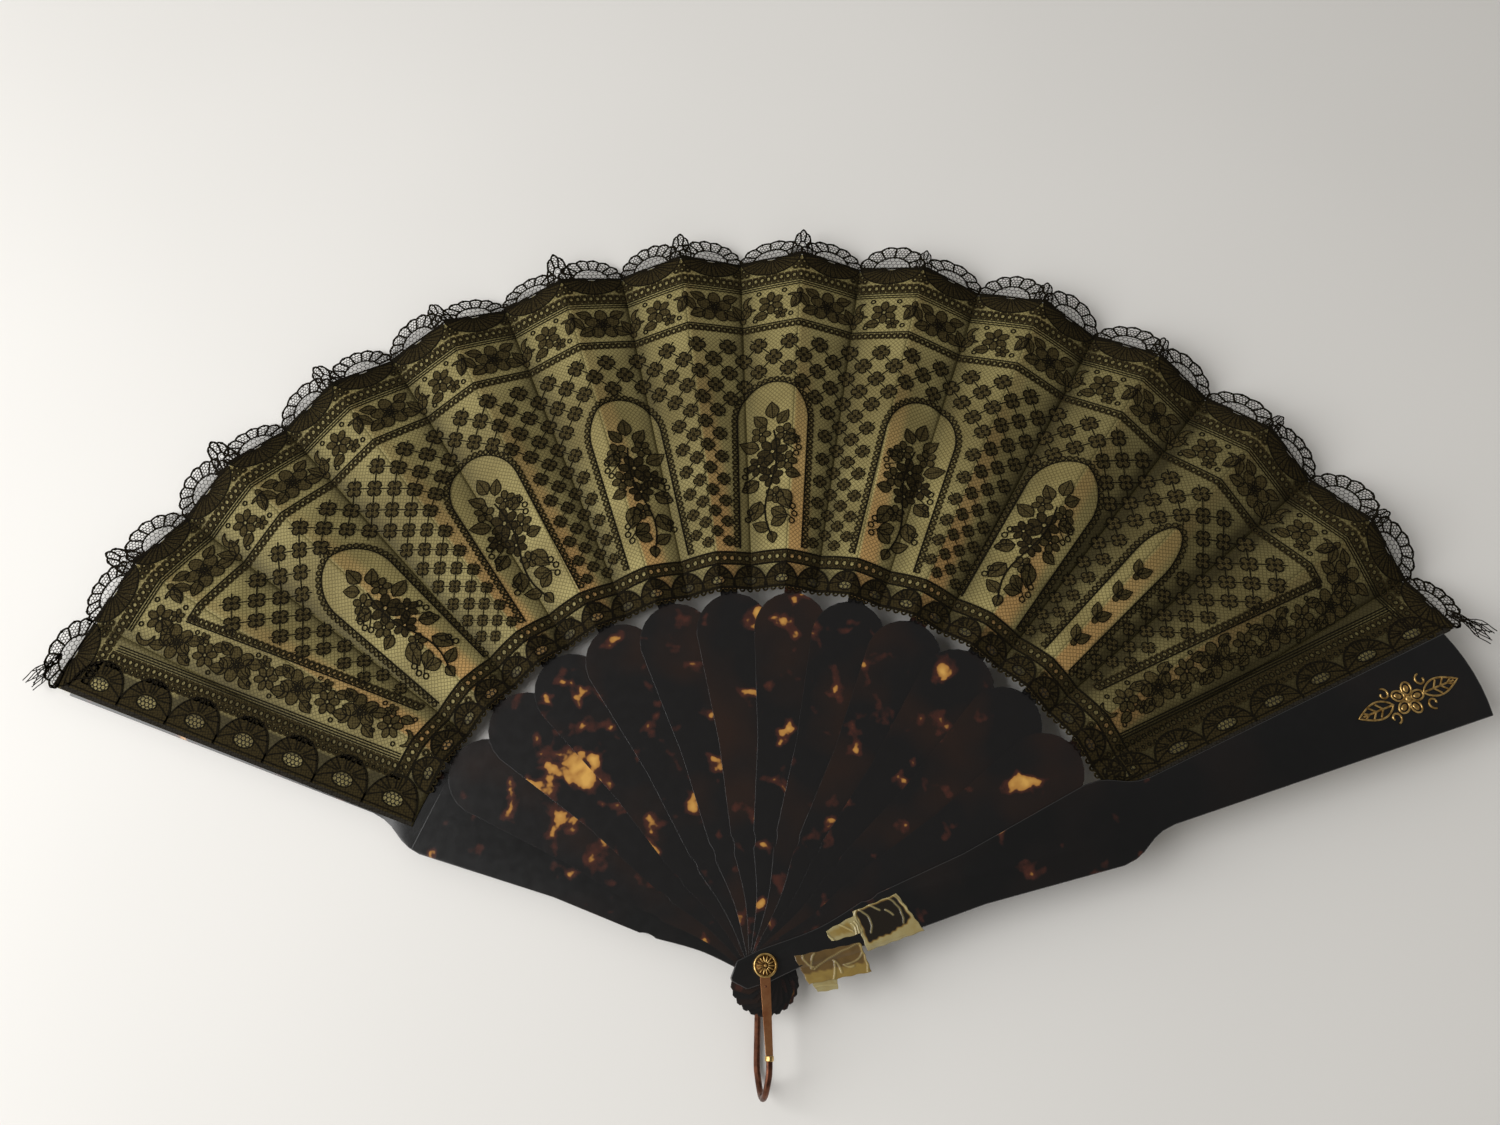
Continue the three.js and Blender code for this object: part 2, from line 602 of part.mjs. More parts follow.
/** Gilt sprig on the guard's face: a five-petalled flower between two pointed leaves. */
function sprig() {
  const bottom = FRONT_GUARD_TOP + SEAT_GAP;
  const top = bottom + SPRIG_THICK;
  const points = [];
  const steps = SPRIG_PETALS * PETAL_STEPS;
  for (let step = 0; step < steps; step += 1) {
    const turn = 2 * Math.PI * step / steps;
    const radius = SPRIG_FLOWER_RADIUS - SPRIG_PETAL_DEPTH * (1 - Math.cos(SPRIG_PETALS * turn)) / 2;
    points.push(new THREE.Vector2(SPRIG_AT + radius * Math.cos(turn), radius * Math.sin(turn)));
  }
  const root = SPRIG_FLOWER_RADIUS / 2;
  const tip = root + SPRIG_LEAF_LENGTH;
  return join(
    plate(new THREE.Shape(points), bottom, top),
    plate(leafOutline(SPRIG_AT + root, SPRIG_AT + tip, SPRIG_LEAF_HALF), bottom, top, PETAL_STEPS),
    plate(leafOutline(SPRIG_AT - tip, SPRIG_AT - root, SPRIG_LEAF_HALF), bottom, top, PETAL_STEPS),
  );
}

/** A group turned so that its X axis runs along a stick. */
function stickGroup(index) {
  const group = new THREE.Group();
  group.rotation.z = radians(stickAngle(index));
  fan.add(group);
  return group;
}

/** Guards, sticks and what is fixed to the front guard. */
function addSticks() {
  const rearTop = REAR_GUARD_Z + GUARD_THICK;
  const rearSeatTop = rearTop + GUARD_THICK;
  const rearGuard = guard(tailReach(0), REAR_GUARD_Z, rearTop, rearTop - LEAF_SEAT_DEPTH, rearSeatTop);
  addPiece(stickGroup(0), 'rear_guard', rearGuard, FINISH.shell);
  for (let index = 1; index <= STICK_COUNT; index += 1) {
    addPiece(stickGroup(index), `stick_${twoDigits(index)}`, stick(index), FINISH.shell);
  }
  const front = stickGroup(STICK_COUNT + 1);
  const seatBottom = FRONT_GUARD_Z - FRONT_GUARD_THICK;
  const seatTop = FRONT_GUARD_Z + LEAF_SEAT_DEPTH;
  const frontTail = tailReach(STICK_COUNT + 1);
  const frontGuard = guard(frontTail, FRONT_GUARD_Z, FRONT_GUARD_TOP, seatBottom, seatTop);
  addPiece(front, 'front_guard', frontGuard, FINISH.shell);
  addPiece(front, 'shank_tape', shankTape(), FINISH.tape);
  addPiece(front, 'neck_tape', neckTape(), FINISH.tape);
  addPiece(front, 'guard_sprig', sprig(), FINISH.gilt);
}

/** Silk and lace of the leaf, one piece of each for every stick and guard. */
function addLeaf() {
  const laceLift = SILK_THICK + LEAF_GAP;
  for (let index = 0; index <= STICK_COUNT + 1; index += 1) {
    const ends = { 0: 'end_rear', [STICK_COUNT + 1]: 'end_front' };
    const place = ends[index] ?? `pleat_${twoDigits(index)}`;
    const folds = leafFolds(index);
    const silkRows = (panel) => silkReaches(isTucked(index, panel));
    const laceRows = (panel, share) => laceReaches(isTucked(index, panel), share);
    const silk = leafPiece(folds, 0, SILK_THICK, silkRows);
    const lace = leafPiece(folds, laceLift, LACE_THICK, laceRows);
    addPiece(fan, `silk_${place}`, silk, FINISH.silk);
    addPiece(fan, `lace_${place}`, lace, FINISH.lace);
  }
}

addSticks();
addLeaf();
addRivet();
addBail();

export default fan;
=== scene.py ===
"""Folding fan: tortoiseshell sticks, a pleated silk leaf under lace, a gilt rivet and a copper bail."""
from __future__ import annotations

import logging
import math
from dataclasses import dataclass, field
from enum import Enum
from functools import partial
from typing import Any, Callable, Iterable, Sequence

import bmesh
import bpy
import numpy as np
from bpy.types import ID, Material, Mesh, Node, NodeSocket, NodeTree, Object, SolidifyModifier
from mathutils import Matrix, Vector
from numpy import ndarray

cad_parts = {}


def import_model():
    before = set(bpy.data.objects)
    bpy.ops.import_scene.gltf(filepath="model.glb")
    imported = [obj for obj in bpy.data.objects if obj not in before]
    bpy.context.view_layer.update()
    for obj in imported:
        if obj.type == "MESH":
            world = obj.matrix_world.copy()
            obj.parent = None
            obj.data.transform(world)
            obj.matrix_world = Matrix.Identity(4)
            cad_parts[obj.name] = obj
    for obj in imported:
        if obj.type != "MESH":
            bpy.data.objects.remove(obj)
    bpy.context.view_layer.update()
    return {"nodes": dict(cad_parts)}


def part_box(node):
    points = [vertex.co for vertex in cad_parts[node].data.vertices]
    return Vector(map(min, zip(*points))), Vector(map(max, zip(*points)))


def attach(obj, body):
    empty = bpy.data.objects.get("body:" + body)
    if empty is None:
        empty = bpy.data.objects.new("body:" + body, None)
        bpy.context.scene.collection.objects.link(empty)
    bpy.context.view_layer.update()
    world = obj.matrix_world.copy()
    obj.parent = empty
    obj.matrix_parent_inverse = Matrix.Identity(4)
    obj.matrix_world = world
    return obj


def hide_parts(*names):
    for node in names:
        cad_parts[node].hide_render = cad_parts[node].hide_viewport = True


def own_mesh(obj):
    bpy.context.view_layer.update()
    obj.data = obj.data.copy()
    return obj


LOG = logging.getLogger("fan")
MM = 0.001
# Direction of the front guard's middle line in degrees, and the height of its face in millimetres.
GUARD_ANGLE = 22.4
GUARD_TOP = 19.35

# Points in millimetres and faces of a closed shape.
Shape = tuple[ndarray, list]
# What adds a node to a tree and returns it.
AddNode = Callable[..., Node]


def linear(code: str) -> tuple[float, float, float, float]:
    """Linear red, green, blue and alpha of an sRGB colour that is written as #rrggbb."""
    parts = [int(code[place:place + 2], 16) / 255 for place in (1, 3, 5)]
    red, green, blue = [p / 12.92 if p <= 0.04045 else ((p + 0.055) / 1.055) ** 2.4 for p in parts]
    return red, green, blue, 1.0


def repeats(size: float) -> float:
    """Scale of a texture whose pattern repeats at a size in millimetres."""
    return 1 / (size * MM)


def feed(tree: NodeTree, node: Node, inputs: dict[Any, Any]) -> None:
    """Sets a node's inputs.

    Args:
        tree: Node tree that holds the node.
        node: Node to feed.
        inputs: By input name or index, a node whose first output is linked, an output or a value.
    """
    for socket, value in inputs.items():
        source = value.outputs[0] if isinstance(value, Node) else value
        if isinstance(source, NodeSocket):
            tree.links.new(source, node.inputs[socket])
        else:
            node.inputs[socket].default_value = value


def add_node(tree: NodeTree, kind: str, inputs: dict[Any, Any] | None = None,
             stops: Sequence[tuple[float, str]] = (), **settings: Any) -> Node:
    """Adds a node with its settings, values and links.

    Args:
        tree: Node tree to add to.
        kind: Node type's identifier.
        inputs: What feeds its inputs.
        stops: Places and hex colours of a colour ramp.
        settings: Attributes of the node.

    Returns:
        The new node.
    """
    node = tree.nodes.new(kind)
    for name, value in settings.items():
        setattr(node, name, value)
    for place, (position, code) in enumerate(stops):
        elements = node.color_ramp.elements
        element = elements[place] if place < 2 else elements.new(position)
        element.position = position
        element.color = linear(code)
    feed(tree, node, inputs or {})
    return node


@dataclass(frozen=True)
class Finish:
    """A surface finish, which becomes one material."""

    name: str

    def material(self) -> Material:
        """Makes the material and feeds its shader.

        Returns:
            The material.
        """
        material = bpy.data.materials.new(self.name)
        material.use_nodes = True
        tree = material.node_tree
        feed(tree, tree.nodes["Principled BSDF"], self.surface(partial(add_node, tree)))
        return material

    def surface(self, add: AddNode) -> dict[str, Any]:
        """Adds the finish's nodes and returns what feeds its shader."""
        raise NotImplementedError


@dataclass(frozen=True)
class Glow:
    """A patch of the shell where amber is likelier, in millimetres from the rivet."""

    x: float
    y: float
    reach: float
    gain: float


@dataclass(frozen=True)
class Tortoiseshell(Finish):
    """Polished tortoiseshell: near-black plates that let red-brown and amber through in cloudy patches."""

    name: str = "polished_tortoiseshell"
    dark: str = "#111010"
    brown: str = "#24160f"
    red: str = "#432219"
    amber: str = "#a87638"
    yellow: str = "#cf9f50"
    patch_mm: float = 13.0
    speck_mm: float = 4.5
    speck_share: float = 0.16
    cloud_mm: float = 42.0
    layer_spread: float = 70.0
    shown_from: float = 0.69
    shown_to: float = 0.77
    polished: float = 0.17
    rubbed: float = 0.27
    glow_height: float = 12.0
    glows: tuple[Glow, ...] = (
        Glow(-79, 75, 16, 0.21), Glow(-92, 96, 36, 0.1), Glow(-109, 97, 9, 0.14), Glow(-95, 116, 9, 0.14),
        Glow(-75, 97, 9, 0.14), Glow(-64, 88, 9, 0.16), Glow(-107, 63, 12, 0.18), Glow(-71, 41, 12, 0.18),
        Glow(-51, 46, 10, 0.15), Glow(-31, 60, 9, 0.17), Glow(-25, 86, 9, 0.15), Glow(-42, 142, 10, 0.12),
        Glow(0, 143, 10, 0.13), Glow(29, 120, 12, 0.2), Glow(39, 92, 12, 0.18), Glow(7, 91, 10, 0.17),
        Glow(26, 62, 10, 0.17), Glow(76, 116, 10, 0.13), Glow(106, 71, 14, 0.18), Glow(114, 87, 9, 0.15),
        Glow(53, 41, 10, 0.14), Glow(-3, 24, 8, 0.15), Glow(110, 36, 9, 0.16), Glow(137, 43, 13, 0.16),
        Glow(-124, 37, 10, 0.18), Glow(-72, 22, 9, 0.16), Glow(-80, 48, 40, 0.06),
        Glow(95, 85, 90, -0.035), Glow(250, 105, 120, -0.3),
    )

    def surface(self, add: AddNode) -> dict[str, Any]:
        """Lets amber through dark clouds; every layer of the stack reads its own slice of them.

        Args:
            add: Adds a node.

        Returns:
            What feeds its shader.
        """
        place = add("ShaderNodeTexCoord").outputs["Object"]
        sliced = add("ShaderNodeMapping", {"Vector": place, "Scale": (1, 1, self.layer_spread)})
        patch = add("ShaderNodeTexNoise", {
            "Vector": sliced, "Scale": repeats(self.patch_mm), "Detail": 2.5, "Distortion": 0.25})
        speck = add("ShaderNodeTexNoise", {"Vector": sliced, "Scale": repeats(self.speck_mm)})
        cloud = add("ShaderNodeTexNoise", {"Vector": sliced, "Scale": repeats(self.cloud_mm)})
        amount = add("ShaderNodeMath", {0: speck, 1: self.speck_share, 2: patch}, operation="MULTIPLY_ADD")
        for glow in self.glows:
            away = add("ShaderNodeVectorMath", {
                0: place, 1: (glow.x * MM, glow.y * MM, self.glow_height * MM)}, operation="DISTANCE")
            near = add("ShaderNodeMapRange", {
                "Value": away.outputs["Value"], "From Max": glow.reach * MM,
                "To Min": glow.gain, "To Max": 0.0}, interpolation_type="SMOOTHSTEP")
            amount = add("ShaderNodeMath", {0: amount, 1: near}, operation="ADD")
        body = add("ShaderNodeValToRGB", {"Fac": cloud}, stops=[(0.48, self.dark), (0.72, self.brown)])
        light = add("ShaderNodeValToRGB", {"Fac": amount}, stops=[
            (0.755, self.red), (0.9, self.yellow), (0.772, self.red), (0.795, self.amber)])
        shown = add("ShaderNodeMapRange", {
            "Value": amount, "From Min": self.shown_from, "From Max": self.shown_to})
        colour = add("ShaderNodeMix", {0: shown, 6: body, 7: light}, data_type="RGBA")
        rough = add("ShaderNodeMapRange", {"Value": speck, "To Min": self.polished, "To Max": self.rubbed})
        return {"Base Color": colour.outputs[2], "Roughness": rough, "IOR": 1.55}


@dataclass(frozen=True)
class Silk(Finish):
    """Thin plain-woven silk under a fine net: olive gold, and peach where a pale rib shows through it."""

    name: str = "olive_gold_silk"
    ground: str = "#a19562"
    shade: str = "#81754a"
    rib: str = "#c2985f"
    net: str = "#3a3219"
    # Colour that the ground darkens to where the lace lies close, and as painted shade along valley folds
    # and on the right-hand side.
    lace_and_shade: str = "#221d0e"
    # The net's real meshes are about 0.9 mm, too fine for the picture, so they are drawn at 1.5 mm.
    net_mm: float = 1.5
    net_cover: float = 0.62
    weave_mm: float = 0.7
    stain_mm: float = 45.0
    rib_root_mm: float = 8.2
    rib_tip_mm: float = 4.0
    rib_from_mm: float = 155.5
    rib_to_mm: float = 318.0
    rib_edge_mm: float = 1.5
    rib_blur_mm: float = 4.0
    fade_from_mm: float = 185.0
    fade_to_mm: float = 270.0
    rib_shown: float = 0.85
    rib_faded: float = 0.12

    def surface(self, add: AddNode) -> dict[str, Any]:
        """Works on the leaf's own map, which runs across the pleat and out from the rivet.

        Args:
            add: Adds a node.

        Returns:
            What feeds its shader.
        """
        place = add("ShaderNodeUVMap", uv_map="leaf")
        stain = add("ShaderNodeTexNoise", {"Vector": place, "Scale": repeats(self.stain_mm), "Detail": 3.0})
        ground = add("ShaderNodeValToRGB", {"Fac": stain}, stops=[(0.35, self.shade), (0.62, self.ground)])
        cloth = add("ShaderNodeMix", {
            0: self.strip(add, place), 6: ground, 7: linear(self.rib)}, data_type="RGBA")
        slanted = add("ShaderNodeMapping", {"Vector": place, "Rotation": (0, 0, math.pi / 4)})
        mesh = add("ShaderNodeTexVoronoi", {
            "Vector": slanted, "Scale": repeats(self.net_mm), "Randomness": 0.25},
            feature="DISTANCE_TO_EDGE", voronoi_dimensions="2D")
        thread = add("ShaderNodeMapRange", {
            "Value": mesh, "From Min": 0.05, "From Max": 0.17,
            "To Min": self.net_cover, "To Max": 0.0})
        threaded = add("ShaderNodeMix", {
            0: thread, 6: cloth.outputs[2], 7: linear(self.net)}, data_type="RGBA")
        # Darkens the ground where the lace lies close, and as painted shade along valley folds and on the
        # right-hand side.
        close = add("ShaderNodeAttribute", attribute_name="lace_and_shade").outputs["Fac"]
        colour = add("ShaderNodeMix", {
            0: close, 6: threaded.outputs[2], 7: linear(self.lace_and_shade)}, data_type="RGBA")
        weave = add("ShaderNodeTexWave", {
            "Vector": place, "Scale": repeats(self.weave_mm) / (2 * math.pi), "Distortion": 0.4})
        bump = add("ShaderNodeBump", {
            "Height": weave.outputs["Fac"], "Strength": 0.12, "Distance": 0.2 * MM})
        return {"Base Color": colour.outputs[2], "Normal": bump, "Roughness": 0.55,
                "Specular IOR Level": 0.08}

    def strip(self, add: AddNode, place: Node) -> Node:
        """How far the rib under a pleat shows: a strip from the crest that narrows and fades outwards.

        Args:
            add: Adds a node.
            place: The leaf's map.

        Returns:
            Node that gives 0 to 1.
        """
        across, out, _ = add("ShaderNodeSeparateXYZ", {"Vector": place}).outputs
        width = add("ShaderNodeMapRange", {
            "Value": out, "From Min": self.rib_from_mm * MM, "From Max": self.rib_to_mm * MM,
            "To Min": self.rib_root_mm * MM, "To Max": self.rib_tip_mm * MM})
        inside = add("ShaderNodeMath", {0: width, 1: across}, operation="SUBTRACT")
        left = add("ShaderNodeMapRange", {
            "Value": across, "From Max": self.rib_edge_mm * MM},
            interpolation_type="SMOOTHSTEP")
        right = add("ShaderNodeMapRange", {
            "Value": inside, "From Min": -self.rib_blur_mm * MM,
            "From Max": self.rib_edge_mm * MM}, interpolation_type="SMOOTHSTEP")
        fade = add("ShaderNodeMapRange", {
            "Value": out, "From Min": self.fade_from_mm * MM, "From Max": self.fade_to_mm * MM,
            "To Min": self.rib_shown, "To Max": self.rib_faded})
        strip = left
        for share in (right, fade):
            strip = add("ShaderNodeMath", {0: strip, 1: share}, operation="MULTIPLY")
        return strip


@dataclass(frozen=True)
class LaceThread(Finish):
    """Lace thread: matt dyed silk, worked as close cloth, as outlining cord or as fine net."""

    name: str
    deep: str
    worn: str
    weave_mm: float = 1.1

    def surface(self, add: AddNode) -> dict[str, Any]:
        """Shows the crossing threads of close cloth as small lighter gaps.

        Args:
            add: Adds a node.

        Returns:
            What feeds its shader.
        """
        place = add("ShaderNodeTexCoord").outputs["Object"]
        weave = add("ShaderNodeTexVoronoi", {
            "Vector": place, "Scale": repeats(self.weave_mm), "Randomness": 0.5}, voronoi_dimensions="2D")
        colour = add("ShaderNodeValToRGB", {"Fac": weave}, stops=[(0.25, self.worn), (0.6, self.deep)])
        bump = add("ShaderNodeBump", {"Height": weave, "Strength": 0.25, "Distance": 0.1 * MM})
        return {"Base Color": colour, "Normal": bump, "Roughness": 0.9, "Specular IOR Level": 0.06}


@dataclass(frozen=True)
class WornMetal(Finish):
    """Handled metal: bright where it is rubbed, darker and duller in clouds of tarnish."""

    name: str
    bright: str
    tarnish: str
    gloss: float
    dull: float
    cloud_mm: float = 4.0

    def surface(self, add: AddNode) -> dict[str, Any]:
        """Drives both colour and gloss with one noise.

        Args:
            add: Adds a node.

        Returns:
            What feeds its shader.
        """
        place = add("ShaderNodeTexCoord").outputs["Object"]
        cloud = add("ShaderNodeTexNoise", {
            "Vector": place, "Scale": repeats(self.cloud_mm), "Detail": 4.0, "Roughness": 0.6})
        colour = add("ShaderNodeValToRGB", {"Fac": cloud}, stops=[(0.34, self.tarnish), (0.62, self.bright)])
        rough = add("ShaderNodeMapRange", {
            "Value": cloud, "From Min": 0.3, "From Max": 0.7,
            "To Min": self.dull, "To Max": self.gloss})
        return {"Base Color": colour, "Roughness": rough, "Metallic": 1.0}


@dataclass(frozen=True)
class OldTape(Finish):
    """Aged cellulose tape: glossy yellowed film, browner where it sticks to the shell."""

    name: str = "yellowed_tape"
    pale: str = "#988d64"
    film: str = "#86703a"
    aged: str = "#644e2b"
    stuck: str = "#1b160f"
    crease: str = "#ab9c68"
    blot_mm: float = 6.0
    blot_share: float = 0.35

    def surface(self, add: AddNode) -> dict[str, Any]:
        """Works on the tape's own maps, which say where it sticks to the shell and where it is creased.

        Args:
            add: Adds a node.

        Returns:
            What feeds its shader.
        """
        place = add("ShaderNodeTexCoord").outputs["Object"]
        held = add("ShaderNodeAttribute", attribute_name="held").outputs["Fac"]
        creased = add("ShaderNodeAttribute", attribute_name="creased").outputs["Fac"]
        blot = add("ShaderNodeTexNoise", {
            "Vector": place, "Scale": repeats(self.blot_mm), "Detail": 4.0, "Distortion": 1.0})
        share = add("ShaderNodeMath", {0: blot, 1: self.blot_share, 2: held}, operation="MULTIPLY_ADD")
        colour = add("ShaderNodeValToRGB", {"Fac": share}, stops=[
            (0.15, self.pale), (1.0, self.stuck), (0.35, self.film), (0.6, self.aged)])
        shown = add("ShaderNodeMix", {0: creased, 6: colour, 7: linear(self.crease)}, data_type="RGBA")
        return {"Base Color": shown.outputs[2], "Roughness": 0.22, "IOR": 1.48}


@dataclass(frozen=True)
class MattBoard(Finish):
    """Matt painted board: near white, with the faintest unevenness of tone."""

    name: str = "matt_board"
    light: str = "#e5e3df"
    shade: str = "#e0deda"
    grain: float = 3.0

    def surface(self, add: AddNode) -> dict[str, Any]:
        """Mixes two pale tones by a broad noise.

        Args:
            add: Adds a node.

        Returns:
            What feeds its shader.
        """
        place = add("ShaderNodeTexCoord").outputs["Object"]
        grain = add("ShaderNodeTexNoise", {"Vector": place, "Scale": self.grain})
        tone = add("ShaderNodeValToRGB", {"Fac": grain}, stops=[(0.3, self.shade), (0.7, self.light)])
        return {"Base Color": tone, "Roughness": 0.75}


class Slot(Enum):
    """The record's material slots."""

    SHELL = "tortoiseshell"
    SILK = "silk"
    LACE = "lace"
    COPPER = "copper"
    GILT = "gilt"
    TAPE = "tape"


def ready(obj: Object, body: str, stands_for: Sequence[str] = ()) -> Object:
    """Sets a finished piece on its body.

    Args:
        obj: Piece, already in the collection.
        body: CAD body that it rides on.
        stands_for: CAD nodes that it replaces.

    Returns:
        The same piece.
    """
    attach(obj, body)
    if stands_for:
        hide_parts(*stands_for)
    LOG.info("%s rides on %s, %d faces", obj.name, body, len(obj.data.polygons))
    return obj


def new_object(name: str, data: ID, *materials: Material) -> Object:
    """Links a mesh, a lamp or a camera to the scene as an object.

    Args:
        name: Object's name.
        data: What it holds, in metres.
        materials: Materials for a mesh's slots, in order.

    Returns:
        The object.
    """
    for material in materials:
        data.materials.append(material)
    obj = bpy.data.objects.new(name, data)
    bpy.context.scene.collection.objects.link(obj)
    return obj


def mesh_of(name: str, points: ndarray, faces: Iterable[Sequence[int]]) -> Mesh:
    """Makes a mesh from points in millimetres.

    Args:
        name: Mesh's name.
        points: Rows of x, y, z.
        faces: Rows of corner numbers.

    Returns:
        The mesh, in metres.
    """
    mesh = bpy.data.meshes.new(name)
    corners = [list(map(int, face)) for face in faces]
    mesh.from_pydata((np.asarray(points, float) * MM).tolist(), [], corners)
    mesh.validate()
    mesh.update()
    return mesh


def mark(mesh: Mesh, name: str, values: Iterable[float]) -> None:
    """Stores one number for every point of a mesh under a name."""
    store = mesh.attributes.new(name, "FLOAT", "POINT")
    store.data.foreach_set("value", np.asarray(values, np.float32).ravel())


def thicken(obj: Object, thickness: float, offset: float) -> SolidifyModifier:
    """Gives a thin sheet its thickness in millimetres, below it, about it or above it for -1, 0 or 1."""
    solid = obj.modifiers.new("thickness", "SOLIDIFY")
    solid.thickness = thickness * MM
    solid.offset = offset
    return solid


def smooth(mesh: Mesh, crease: float = 35.0) -> None:
    """Shades a mesh smoothly, apart from creases sharper than an angle in degrees."""
    mesh.shade_smooth()
    mesh.set_sharp_from_angle(angle=math.radians(crease))


def softened(node: Object, name: str, width: float, steps: int) -> Mesh:
    """Copies a CAD node's shape and rounds its sharp outer edges.

    Args:
        node: CAD node.
        name: New mesh's name.
        width: Width of the rounding, in millimetres.
        steps: Rows of faces in the rounding.

    Returns:
        The rounded copy.
    """
    merge_within, flat_below, sharp_above, crease = 0.002 * MM, 1, 40, 14
    shape = bmesh.new()
    shape.from_mesh(node.data)
    bmesh.ops.remove_doubles(shape, verts=shape.verts, dist=merge_within)
    bmesh.ops.dissolve_limit(shape, angle_limit=math.radians(flat_below), verts=shape.verts,
                             edges=shape.edges)
    sharp = [e for e in shape.edges if e.is_convex and e.calc_face_angle(0.0) > math.radians(sharp_above)]
    bmesh.ops.bevel(shape, geom=sharp, offset=width * MM, segments=steps, profile=0.5, affect="EDGES",
                    clamp_overlap=True)
    mesh = bpy.data.meshes.new(name)
    shape.to_mesh(mesh)
    shape.free()
    smooth(mesh, crease)
    return mesh


def softened_piece(node: str, suffix: str, width: float, steps: int, finish: Material, body: str,
                   nodes: dict[str, Object]) -> Object:
    """Puts a softened copy, whose name gets a suffix, in a CAD node's place."""
    name = f"{node}_{suffix}"
    return ready(new_object(name, softened(nodes[node], name, width, steps), finish), body, [node])


def grid_faces(rows: int, columns: int, ringed: bool = False, closed: bool = False) -> list[tuple[int, ...]]:
    """Faces between the neighbouring points of a grid that is filled row by row.

    Args:
        rows: Number of rows.
        columns: Points in a row.
        ringed: Whether every row joins up as a ring.
        closed: Whether the last row joins the first.

    Returns:
        Four corner numbers for every face.
    """
    faces = []
    for row in range(rows if closed else rows - 1):
        low, high = row * columns, (row + 1) % rows * columns
        for left in range(columns if ringed else columns - 1):
            right = (left + 1) % columns
            faces.append((low + left, low + right, high + right, high + left))
    return faces


def polar(angle: ndarray | float, reach: ndarray | float) -> ndarray:
    """Plan points at angles in degrees and distances from the rivet."""
    turn = np.radians(angle)
    return np.stack(np.broadcast_arrays(reach * np.cos(turn), reach * np.sin(turn)), axis=-1)


def raised(plan: ndarray, height: ndarray | float) -> ndarray:
    """Plan points with a height each, or all with the same one."""
    return np.column_stack([plan, np.full(len(plan), height)])


def angle_of(points: ndarray) -> ndarray:
    """Angles of plan points about the rivet, in degrees."""
    return np.degrees(np.arctan2(points[:, 1], points[:, 0]))


@dataclass(frozen=True)
class Fold:
    """A fold line of the leaf: its plan angle in degrees and the silk's top along it, in millimetres."""

    angle: float
    inner_z: float
    outer_z: float

    def height(self, reach: ndarray | float, plan: LeafPlan) -> ndarray | float:
        """Height of the silk's top on the fold at a distance from the rivet."""
        rise = (self.outer_z - self.inner_z) * (reach - plan.inner)
        return self.inner_z + rise / (plan.outer - plan.inner)

    def point(self, reach: float, plan: LeafPlan) -> Vector:
        """Point of the fold at a distance from the rivet, in millimetres."""
        x, y = polar(self.angle, reach)
        return Vector((x, y, float(self.height(reach, plan))))


class Closing(Enum):
    """What a panel of the leaf does as the fan shuts."""

    RIGID = "stays with its guard"
    FLAT = "lies down on its rib"
    FURLED = "draws in to its fold"


@dataclass(frozen=True)
class Panel:
    """One flat panel of the pleated leaf, between two fold lines."""

    name: str
    left: Fold
    right: Fold
    crest: Fold
    body: str
    closing: Closing
    stands_for: str = ""


